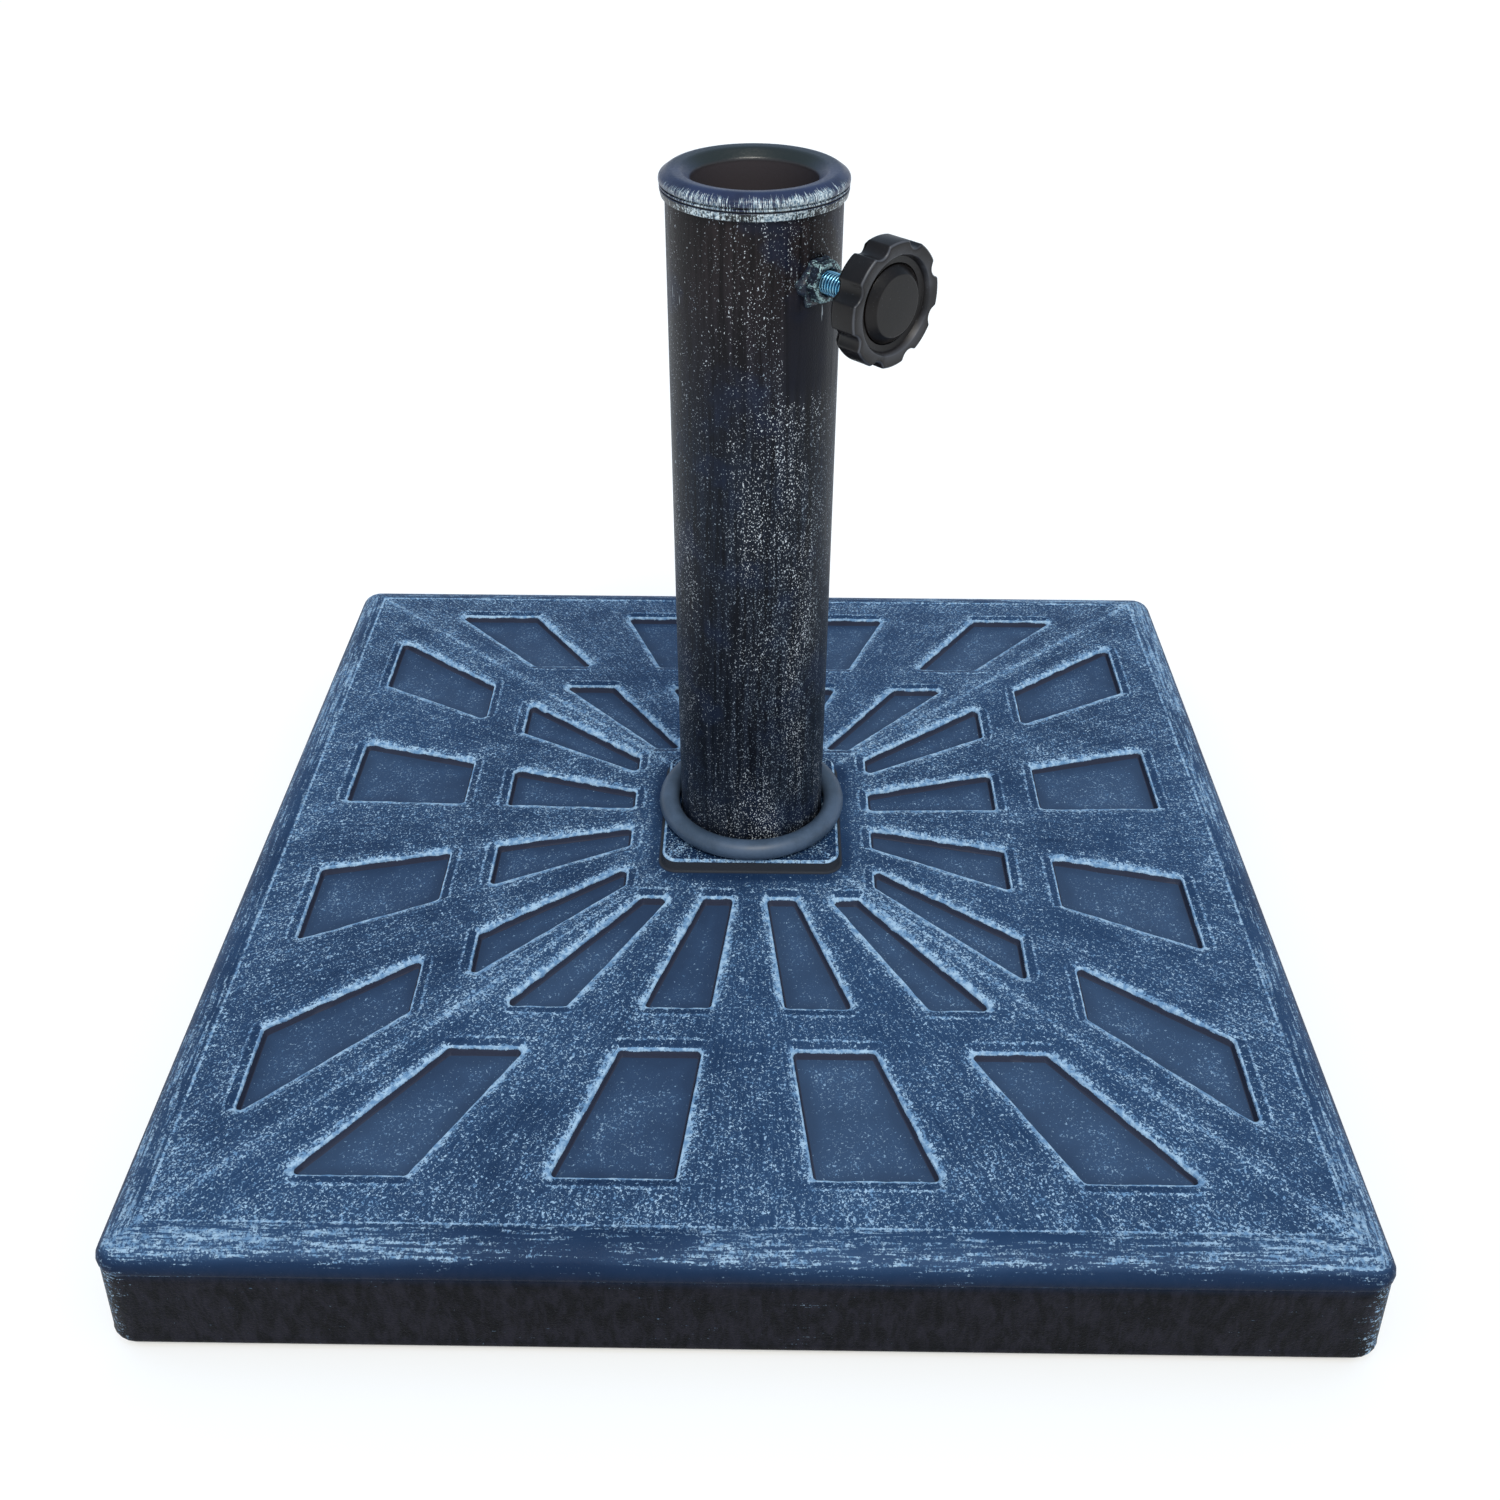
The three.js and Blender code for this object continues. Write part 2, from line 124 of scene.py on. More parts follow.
def loops_object(name, loops, closed, attributes=None, sharp=40):
    """Skins a list of closed loops with equal counts; open lists are capped with flat faces."""
    rows, count = len(loops), len(loops[0])
    index = np.arange(rows * count).reshape(rows, count)
    lower = index if closed else index[:-1]
    upper = np.roll(index, -1, 0) if closed else index[1:]
    quads = np.stack([lower, np.roll(lower, -1, 1), np.roll(upper, -1, 1), upper], -1).reshape(-1, 4)
    faces = [tuple(int(i) for i in quad) for quad in quads]
    if not closed:
        faces.append(tuple(int(i) for i in index[0]))
        faces.append(tuple(int(i) for i in index[-1]))
    return new_object(name, np.concatenate(loops), faces, attributes, sharp)


def filleted(corners, steps=5):
    """A closed outline of (x, y, radius) corners with each corner rounded to its radius."""
    points = []
    for i, (x, y, radius) in enumerate(corners):
        here = np.array([x, y], float)
        if radius <= 0:
            points.append(here)
            continue
        before = np.array(corners[i - 1][:2], float) - here
        after = np.array(corners[(i + 1) % len(corners)][:2], float) - here
        before /= np.linalg.norm(before)
        after /= np.linalg.norm(after)
        half = math.acos(np.clip(before @ after, -1, 1)) / 2
        reach = radius / math.tan(half)
        middle = (before + after) / np.linalg.norm(before + after)
        centre = here + middle * radius / math.sin(half)
        first = here + before * reach - centre
        last = here + after * reach - centre
        turn = math.atan2(first[0] * last[1] - first[1] * last[0], first @ last)
        for step in range(steps + 1):
            angle = turn * step / steps
            spin = np.array([[math.cos(angle), -math.sin(angle)], [math.sin(angle), math.cos(angle)]])
            points.append(centre + spin @ first)
    return np.array(points)


def at_angles(radius, angles, z):
    """A level loop of points at the given radius, one number or one for each angle."""
    return np.c_[radius * np.cos(angles), radius * np.sin(angles), np.full(len(angles), z)]


def turned(name, outline, segments=128, on_axis=False, sharp=40):
    """A turned piece about Z from an (r, z) outline; on_axis outlines start and end at the axis."""
    angles = np.linspace(0, 2 * math.pi, segments, endpoint=False)
    loops = [at_angles(max(r, 0.02 * MM), angles, z) for r, z in outline]
    return loops_object(name, loops, not on_axis, sharp=sharp)


def mm(*corners):
    """Outline corners given in millimetres, as metres."""
    return [tuple(value * MM for value in corner) for corner in corners]


CLAMP_FRAME = Matrix.Translation(CLAMP_CENTRE) @ CLAMP_OUT.to_track_quat("Z", "X").to_matrix().to_4x4()


def onto_clamp_axis(piece):
    """Moves a piece made along +Z onto the clamp screw's axis; z = 0 is the mast's axis."""
    piece.data.transform(CLAMP_FRAME)
    return piece


def noise3(points, seed, scale):
    """Smooth repeatable noise, about -1 to 1, at the given feature size."""
    rng = np.random.default_rng(seed)
    total = np.zeros(len(points))
    for _ in range(7):
        direction = rng.normal(size=3)
        direction /= np.linalg.norm(direction)
        frequency = 2 * math.pi / scale * rng.uniform(0.6, 1.7)
        total += np.sin(points @ direction * frequency + rng.uniform(0, 2 * math.pi))
    return total / 7 * 1.6


# Slab


def spaced(edges, low, high, fine, coarse, reach):
    """Grid lines from low to high: fine steps within reach of each edge, coarse ones between."""
    stops = {low, high}
    for edge in edges:
        count = int(round(2 * reach / fine))
        stops.update(edge + fine * (i - count / 2) for i in range(count + 1))
    stops = sorted(stop for stop in stops if low <= stop <= high)
    lines = []
    for here, after in zip(stops, stops[1:]):
        parts = max(1, math.ceil((after - here) / coarse - 0.01)) if after - here > fine * 1.01 else 1
        lines += [here + (after - here) * i / parts for i in range(parts)]
    return np.array(lines + [high])


def pocket_edges():
    return sorted(sign * k for pair in POCKET_SLOPES for k in pair for sign in (-1, 1))


def loop_slopes():
    """Positions along one side of a square loop, -1 to 1, closest together at the pockets' sides."""
    reach = 5.2 * MM / POCKET_RINGS[1][1]
    return spaced(pocket_edges(), -1.0, 1.0, reach / 8, 3.0 * MM / POCKET_RINGS[1][1], reach)


def square_loop(half, corner, slopes):
    """A rounded square of half side `half`, with one point for each slope along each side."""
    corner = min(corner, half)
    straight = half - corner
    start = straight / half
    along = np.abs(slopes)
    angle = np.clip((along - start) / max(1 - start, 1e-9), 0, 1) * math.pi / 4
    u = np.where(along > start, straight + corner * np.sin(angle), along * half) * np.sign(slopes)
    v = np.where(along > start, straight + corner * np.cos(angle), half)
    sides = []
    for turn in range(4):
        cosine, sine = round(math.cos(turn * math.pi / 2)), round(math.sin(turn * math.pi / 2))
        x, y = u[:-1], -v[:-1]
        sides.append(np.stack([cosine * x - sine * y, sine * x + cosine * y], 1))
    return np.concatenate(sides)


def round_loop(radius, slopes):
    angles = np.concatenate([slopes[:-1] * math.pi / 4 + turn * math.pi / 2 for turn in range(4)])
    return radius * np.stack([np.sin(angles), -np.cos(angles)], 1)


def quad_distance(x, y, corners, rounding):
    """Signed distance to a convex outline with rounded corners, negative inside."""
    distance = np.full(x.shape, -1e9)
    reach = np.full(x.shape, 1e9)
    inside = np.ones(x.shape, bool)
    count = len(corners)
    for i in range(count):
        ax, ay = corners[i]
        bx, by = corners[(i + 1) % count]
        length = math.hypot(bx - ax, by - ay)
        nx, ny = (by - ay) / length, -(bx - ax) / length
        away = (x - ax) * nx + (y - ay) * ny
        distance = np.maximum(distance, away)
        inside &= away <= 0
        t = np.clip(((x - ax) * (bx - ax) + (y - ay) * (by - ay)) / length ** 2, 0, 1)
        reach = np.minimum(reach, np.hypot(x - ax - t * (bx - ax), y - ay - t * (by - ay)))
    return np.where(inside, distance, reach) - rounding


def pocket_outline(ring, slopes, inset):
    """Corners of a pocket on the -Y side, moved in by the corner rounding."""
    (near, far), (low, high) = ring, slopes
    near, far = near + inset, far - inset
    tilt = [inset * math.hypot(1, k) for k in (low, high)]
    return [
        (low * near + tilt[0], near), (high * near - tilt[1], near),
        (high * far - tilt[1], far), (low * far + tilt[0], far),
    ]


def folded(points):
    """Places sideways of and out along the nearest side's middle line, both without sign."""
    x, y = np.abs(points[:, 0]), np.abs(points[:, 1])
    return np.minimum(x, y), np.maximum(x, y)


def rim_distance(u, v):
    """Signed distance to the nearest pocket's outline, negative inside a pocket."""
    best = np.full(len(u), 1.0)
    for ring in POCKET_RINGS:
        for slopes in POCKET_SLOPES:
            corners = pocket_outline(ring, slopes, POCKET_CORNER_R)
            best = np.minimum(best, quad_distance(u, v, corners, POCKET_CORNER_R))
    return best


def flank_share(u, v):
    """1 beside the pockets' radial edges, 0 beside the edges that run along the slab's sides."""
    step = 0.05 * MM
    across = rim_distance(u + step, v) - rim_distance(u - step, v)
    along = rim_distance(u, v + step) - rim_distance(u, v - step)
    return np.abs(across) / (np.hypot(across, along) + 1e-9)


def smoother(t):
    t = np.clip(t, 0, 1)
    return t * t * t * (t * (6 * t - 15) + 10)


def top_height(half):
    return APEX_Z - TOP_SLOPE * half


def add_relief(loop, distance):
    """Sinks the pockets, with a soft brow, a steep wall and a small fillet at the floor."""
    wavy = distance + 0.16 * MM * noise3(loop, 5, 9 * MM)
    lip = 0.12 * MM * smoother(1 - np.abs(wavy - 4.4 * MM) / (1.1 * MM))
    brow = BROW_DEPTH * smoother((4.0 * MM - wavy) / (4.2 * MM))
    wall = (POCKET_DEPTH - BROW_DEPTH) * smoother((0.3 * MM - wavy) / (1.5 * MM))
    loop[:, 2] += lip - brow - wall
    loop[:, 2] += 0.09 * MM * noise3(loop, 7, 16 * MM) + 0.05 * MM * noise3(loop, 8, 5 * MM)
    return loop


def pad_sections():
    """The mast hole, and the raised pad round it with its rounded edge and small fillet."""
    sections = [("round", HOLE_R, 0, top_height(0) - 12 * MM), ("round", HOLE_R, 0, PAD_TOP - 0.8 * MM)]
    for t in np.linspace(0.15, 0.8, 6):
        sections.append(("morph", t, PAD_CORNER_R, PAD_TOP))
    pad_round = 1.3 * MM
    for angle in np.linspace(0, math.pi / 2, 6):
        inward = pad_round * (1 - math.sin(angle))
        height = PAD_TOP - pad_round * (1 - math.cos(angle))
        sections.append(("square", PAD_HALF - inward - 0.5 * MM, PAD_CORNER_R - inward, height))
    pad_fillet = 1.0 * MM
    for angle in np.linspace(0, math.pi / 2, 5):
        outward = pad_fillet * (1 - math.cos(angle))
        height = top_height(PAD_HALF) + pad_fillet * (1 - math.sin(angle))
        sections.append(("square", PAD_HALF + outward, PAD_CORNER_R + outward, height))
    return sections


def top_sections():
    """The sloping top, with its loops closest together at the pockets' ends."""
    sections = []
    ends = [end for ring in POCKET_RINGS for end in ring]
    for half in spaced(ends, PAD_HALF + 2 * MM, EDGE_START, 0.55 * MM, 2.8 * MM, 5.0 * MM):
        blend = (half - PAD_HALF) / (EDGE_START - PAD_HALF)
        corner = PAD_CORNER_R * (1 - blend) + HIP_R * blend
        sections.append(("top", half, corner, top_height(half)))
    return sections


def edge_sections():
    """The rounded edge, the parting line, the leaning sides and the rounded foot."""
    sections = []
    frame_step = 0.3 * MM
    for t in np.linspace(0.04, 1, 16):
        half = EDGE_START + (PARTING_HALF - EDGE_START) * math.sin(t * math.pi / 2)
        drop = EDGE_DROP * (1 - math.cos(t * math.pi / 2))
        corner = HIP_R + (CORNER_R - HIP_R) * t ** 1.5
        lift = frame_step * float(smoother((half - EDGE_START) / (1.2 * MM))) * (1 - t)
        sections.append(("edge", half, corner, top_height(EDGE_START) - drop + lift))
    sections.append(("edge", PARTING_HALF - 0.35 * MM, CORNER_R, PARTING_Z - 0.5 * MM))
    for height in (38.6, 34, 28, 22, 16, 10, 6):
        out = (PARTING_Z - height * MM) * SIDE_DRAFT - 0.25 * MM
        sections.append(("edge", PARTING_HALF + out, CORNER_R, height * MM))
    foot_round = 2.4 * MM
    for angle in np.linspace(0, math.pi / 2, 5):
        inward = foot_round * (1 - math.cos(angle))
        height = SLAB_BOTTOM + foot_round * (1 - math.sin(angle))
        sections.append(("edge", SLAB_HALF - inward, CORNER_R, height))
    return sections


def inner_sections():
    """The inside of the shell, which the mortar fills."""
    inner = SLAB_HALF - SHELL_WALL
    return [
        ("edge", inner, CORNER_R, SLAB_BOTTOM),
        ("edge", inner, CORNER_R, PARTING_Z - SHELL_WALL),
        ("edge", inner - 12 * MM, CORNER_R, top_height(inner) - SHELL_WALL),
        ("round", HOLE_R + 6 * MM, 0, top_height(HOLE_R) - SHELL_WALL),
    ]


def section_loop(section, slopes):
    """The loop of a (kind, half side or radius, corner radius, height) section."""
    kind, size, corner, height = section
    if kind == "round":
        flat = round_loop(size, slopes)
    elif kind == "morph":
        square = square_loop(PAD_HALF - 1.8 * MM, PAD_CORNER_R - 1.3 * MM, slopes)
        flat = round_loop(HOLE_R + 0.8 * MM, slopes) * (1 - size) + square * size
    else:
        flat = square_loop(size, corner, slopes)
    return np.c_[flat, np.full(len(flat), height)]


def pad_distance(points):
    """Distance outside the pad's top edge, negative on top of it."""
    x, y = np.abs(points[:, 0]), np.abs(points[:, 1])
    straight = PAD_HALF - PAD_CORNER_R
    outside = np.hypot(np.maximum(x - straight, 0), np.maximum(y - straight, 0))
    inside = np.minimum(np.maximum(x, y) - straight, 0)
    return outside + inside - PAD_CORNER_R + 0.5 * MM


def build_slab():
    """The slab's skin as loops from the mast hole outwards, down the sides and back inside."""
    slopes = loop_slopes()
    loops, rims, flanks = [], [], []
    for section in pad_sections() + top_sections() + edge_sections() + inner_sections():
        loop = section_loop(section, slopes)
        u, v = folded(loop)
        distance = rim_distance(u, v)
        if section[0] == "top":
            loop = add_relief(loop, distance)
        loops.append(loop)
        rims.append(distance)
        flanks.append(flank_share(u, v))
    points = np.concatenate(loops)
    attributes = {
        "rim": np.concatenate(rims) / MM,
        "flank": np.concatenate(flanks),
        "pad": pad_distance(points) / MM,
    }
    return loops_object("slab_skin", loops, True, attributes, sharp=50)


# Mast and its trim


def cut_hole(piece, radius, start, end):
    """Bores the clamp hole through the piece along the clamp axis."""
    outline = [(radius, start), (radius, end)]
    tool = onto_clamp_axis(turned("bore_tool", outline, 48, on_axis=True))
    modifier = piece.modifiers.new("bore", "BOOLEAN")
    modifier.operation = "DIFFERENCE"
    modifier.object = tool
    modifier.solver = "EXACT"
    bpy.context.view_layer.update()
    baked = bpy.data.meshes.new_from_object(piece.evaluated_get(bpy.context.evaluated_depsgraph_get()))
    piece.modifiers.clear()
    piece.data = baked
    bpy.data.objects.remove(tool)
    return piece


def build_mast():
    wall, clamp_hole_r = 1.5 * MM, 4.6 * MM
    heights = np.linspace(MAST_LOW.z, MAST_HIGH.z, 40)
    outer = [(MAST_R - 0.03 * MM, z) for z in heights]
    inner = [(MAST_R - wall, z) for z in heights[::-1]]
    mast = turned("mast_skin", outer + inner, 192)
    return cut_hole(mast, clamp_hole_r, MAST_R / 2, MAST_R * 1.5)


def build_collar():
    """Collar with a rolled lip, two grooves below it, and skirts on both sides of the mast's wall."""
    top, low, skirt = COLLAR_HIGH.z / MM, COLLAR_BAND_Z / MM, COLLAR_LOW.z / MM
    outer, bore, mast = COLLAR_HIGH.x / MM, COLLAR_BORE_R / MM, MAST_R / MM
    flange = MAST_HIGH.z / MM + 0.3
    outline = mm(
        (bore, skirt, 0.4), (bore + 2.2, skirt, 0.4), (bore + 2.2, flange, 0.4),
        (mast - 3.8, flange, 0.4), (mast - 3.8, skirt, 0.3), (mast - 1.8, skirt, 0.3),
        (mast - 1.8, flange, 0), (mast + 0.3, flange, 0), (mast + 0.3, low, 0.2),
        (outer - 0.75, low, 0.5), (outer - 0.15, low + 2.75, 0.4),
        (outer - 0.85, low + 2.95, 0.1), (outer - 0.85, low + 3.35, 0.1),
        (outer - 0.2, low + 3.5, 0.15), (outer - 0.2, low + 4.0, 0.15),
        (outer - 0.85, low + 4.15, 0.1), (outer - 0.85, low + 4.55, 0.1),
        (outer, low + 4.8, 0.3), (outer, top - 2.4, 1.8), (outer - 3.4, top, 3.2),
        (bore + 3.6, top - 0.4, 3.0), (bore, top - 3.4, 1.6),
    )
    return turned("collar_skin", filleted(outline, 6), 160, sharp=60)


def build_ring():
    section = (RING_HIGH.z - RING_LOW.z) / 2
    centre_r = RING_HIGH.x - section
    centre_z = (RING_HIGH.z + RING_LOW.z) / 2
    angles = np.linspace(0, 2 * math.pi, 36, endpoint=False)
    outline = [(centre_r + section * math.cos(a), centre_z + section * math.sin(a)) for a in angles]
    return turned("ring_skin", outline, 144)


def build_seat():
    low, top = SEAT_LOW.z / MM, SEAT_HIGH.z / MM
    outer = SEAT_HIGH.x / MM
    outline = mm(
        (0, top - 11, 0), (15, top - 11, 1), (15, low, 0.5), (outer, low, 0.6),
        (outer, top, 0.3), (outer - 1, top, 0.3), (21.5, top - 6, 1.5), (0, top - 6, 0),
    )
    return turned("seat_skin", filleted(outline, 4), 96, on_axis=True)


# Clamp: lengths in millimetres along its axis from the mast's middle, and across it

NUT_BACK = 31.45
NUT_THICK = 5.0
NUT_AF = 13.0
KNOB_BACK = 55.0
KNOB_THICK = 11.8
KNOB_STEPS = 384
FLUTES = 8
BOLT_STEPS = 48


def hex_radius(angles, across_flats, rounding):
    """Radius of a hexagon at each angle, with its corners turned down to a rounding circle."""
    local = (angles + math.pi / 6) % (math.pi / 3) - math.pi / 6
    return np.minimum(across_flats / 2 / np.cos(local), rounding)


def hex_loop(angles, across_flats, rounding, z):
    return at_angles(hex_radius(angles, across_flats, rounding), angles, z)


def build_nut():
    """Hex nut with chamfered corners; its flats face up and down once it is on the axis."""
    angles = np.linspace(0, 2 * math.pi, 120, endpoint=False)
    corner = NUT_AF / math.sqrt(3) * MM
    flats = NUT_AF * MM
    low, high = NUT_BACK * MM, (NUT_BACK + NUT_THICK) * MM
    bore = 4.4 * MM
    loops = [hex_loop(angles, 4 * bore, bore, low)]
    loops.append(hex_loop(angles, flats, corner * 0.93, low))
    for t in np.linspace(0.2, 1, 5):
        loops.append(hex_loop(angles, flats, corner * (0.93 + 0.06 * t), low + 0.8 * MM * t))
    for t in np.linspace(0, 1, 6):
        loops.append(hex_loop(angles, flats, corner * (0.99 - 0.12 * t * t), high - 1.1 * MM * (1 - t)))
    loops.append(hex_loop(angles, flats * 0.93, corner * 0.84, high))
    loops.append(hex_loop(angles, 4 * bore, bore + 0.6 * MM, high))
    loops.append(hex_loop(angles, 4 * bore, bore, high - 0.6 * MM))
    wear_and_highlight = []
    for loop in loops:
        radius = np.hypot(loop[:, 0], loop[:, 1])
        on_corner = smoother((radius / corner - 0.90) / 0.07)
        on_rim = smoother(1 - np.abs(loop[:, 2] - high) / (1.3 * MM))
        on_rim *= smoother((radius / corner - 0.7) / 0.12)
        wear_and_highlight.append(np.maximum(on_corner, on_rim))
    return onto_clamp_axis(loops_object("nut_skin", loops, True, {"wear_and_highlight": np.concatenate(wear_and_highlight)}, sharp=35))


def build_weld():
    """Lumpy fillet between the nut and the round of the mast."""
    angles = np.linspace(0, 2 * math.pi, 160, endpoint=False)
    rng = np.random.default_rng(11)
    lumps = sum(rng.uniform(0.25, 0.6) * np.sin(n * angles + rng.uniform(0, 6.3)) for n in (3, 5, 8, 13))
    inner = hex_radius(angles, (NUT_AF + 0.3) * MM, 7.6 * MM)
    rows = []
    run = 0.35 + 1.5 * np.maximum(np.cos(angles - math.radians(135)), 0) ** 2
    for t in np.linspace(0, 1, 9):
        spread = 1.3 * MM * run * (1 + 0.45 * lumps) * math.cos(t * math.pi / 2) + 0.15 * MM
        radius = inner + spread
        lateral = radius * np.sin(angles)
        on_mast = np.sqrt(MAST_R ** 2 - lateral ** 2) + 0.12 * MM
        top = (NUT_BACK + 1.3) * MM + 0.35 * MM * lumps
        rows.append((radius, on_mast + (top - on_mast) * math.sin(t * math.pi / 2)))
    lateral = inner * np.sin(angles)
    rows.append((inner, np.sqrt(MAST_R ** 2 - lateral ** 2) + 0.12 * MM))
    loops = [np.c_[r * np.cos(angles), r * np.sin(angles), z] for r, z in rows]
    return onto_clamp_axis(loops_object("weld_skin", loops, True, sharp=60))


def build_bolt():
    """M8 threaded bolt with its hexagon head in the knob; the groove depth is kept for the painted shade
    in its roots.
    """
    pitch, crest, root = 1.25, 4.0, 3.32
    tip, end = 25.8, KNOB_BACK + 1.7
    angles = np.linspace(0, 2 * math.pi, BOLT_STEPS, endpoint=False)
    loops, depths = [], []
    rows = int((end - tip) / pitch * 12)
    for row in range(rows + 1):
        z = tip + (end - tip) * row / rows
        phase = (z / pitch + angles / (2 * math.pi)) % 1.0
        ridge = np.clip(1.25 - 2.5 * np.abs(phase - 0.5) * 1.15, 0, 1)
        depth = smoother(ridge)
        ends = min(1.0, (z - tip) / 1.2)
        radius = (root + (crest - root) * depth) * (0.82 + 0.18 * ends)
        loops.append(at_angles(radius, angles, z) * MM)
        depths.append(depth)
    for scale, z in ((1.0, end), (1.0, end + 4.7), (0.93, end + 5.3)):
        loop = hex_loop(angles, NUT_AF * scale * MM, 7.4 * scale * MM, z * MM)
        loops.append(loop)
        depths.append(np.ones(BOLT_STEPS))
    attributes = {"crest": np.concatenate(depths)}
    return onto_clamp_axis(loops_object("bolt_skin", loops, False, attributes, sharp=50))


def build_thrust_cap():
    front, back = 23.5, 28.5
    outline = mm(
        (0, front, 0), (5.5, front, 1.2), (5.5, back, 0.3),
        (4.4, back, 0.2), (4.4, front + 2, 0.2), (0, front + 2, 0),
    )
    cap = turned("thrust_cap_skin", filleted(outline, 5), 64, on_axis=True)
    return onto_clamp_axis(cap)


def flute_radius(angles, outer):
    """Radius of the scalloped grip: a circle with round flutes whose lips are softened."""
    flute, centre = 4.0 * MM, KNOB_R + 1.9 * MM
    step = 2 * math.pi / FLUTES
    local = (angles + step / 2) % step - step / 2
    side = centre * np.sin(local)
    bottom = centre * np.cos(local) - np.sqrt(np.maximum(flute ** 2 - side ** 2, 0))
    grip = np.where(np.abs(side) < flute, bottom, 2 * outer)
    lip = 0.9 * MM
    nearness = 1 - np.clip(np.abs(grip - outer) / lip, 0, 1)
    return np.minimum(grip, outer) - lip * nearness ** 2 / 4


def build_knob():
    """Moulded knob: hub, scalloped grip with rounded rims, sunk ring and the seat for its cap."""
    angles = np.linspace(0, 2 * math.pi, KNOB_STEPS, endpoint=False)
    grip = flute_radius(angles + math.pi / FLUTES, KNOB_R) - KNOB_R
    outline = mm(
        (4.4, -3, 0.2), (8, -3, 0.8), (9, 0, 0.6), (19, 0, 1.4), (21, 2.2, 1.6),
        (21, KNOB_THICK - 0.2, 1.1), (20.2, KNOB_THICK, 0.3), (16.6, KNOB_THICK, 0.5), (15.6, 9.6, 0.5),
        (13.4, 9.4, 0.2), (13.4, 7.3, 0.2), (8, 7.3, 0), (8, 1.4, 0), (4.4, 1.4, 0),
    )
    loops, wear_and_highlight = [], []
    for r, z in filleted(outline, 5):
        radius = r + grip * float(smoother((r - 16.6 * MM) / (2.2 * MM))) ** 2
        loops.append(at_angles(radius, angles, KNOB_BACK * MM + z))
        # The grip's front rim and the well's lip are marked for pale edges: painted highlight.
        from_rim = abs(r - 20.6 * MM) + abs(z - (KNOB_THICK - 0.4) * MM)
        from_well = abs(r - 16.4 * MM) + abs(z - KNOB_THICK * MM)
        wear_and_highlight.append(np.full(KNOB_STEPS, max(1 - min(from_rim, from_well) / (0.8 * MM), 0)))
    attributes = {"wear_and_highlight": np.concatenate(wear_and_highlight)}
    return onto_clamp_axis(loops_object("knob_skin", loops, True, attributes, sharp=50))


def build_knob_cap():
    outline = mm(
        (0, KNOB_BACK + 7.5, 0), (13.1, KNOB_BACK + 7.5, 0.2), (13.1, KNOB_BACK + 9.6, 0.5),
        (10.3, KNOB_BACK + KNOB_THICK + 0.3, 0.8), (0, KNOB_BACK + KNOB_THICK + 0.2, 0),
    )
    return onto_clamp_axis(turned("knob_cap_skin", filleted(outline, 6), 128, on_axis=True))


def build_foot(node):
    """Rubber foot with a shallow groove round its underside."""
    low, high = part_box(node)
    radius = (high.x - low.x) / 2
    groove_top = low.z + 0.7 * MM
    outline = [
        (0, low.z, 0), (radius - 6 * MM, low.z, 0.2 * MM),
        (radius - 5.6 * MM, groove_top, 0.2 * MM), (radius - 4.6 * MM, groove_top, 0.2 * MM),
        (radius - 4 * MM, low.z, 0.3 * MM), (radius, low.z, 1.5 * MM),
        (radius, high.z, 0.3 * MM), (0, high.z, 0),
    ]
    foot = turned(node + "_skin", filleted(outline, 4), 72, on_axis=True)
    foot.data.transform(Matrix.Translation(((low.x + high.x) / 2, (low.y + high.y) / 2, 0)))
    return foot


# Materials


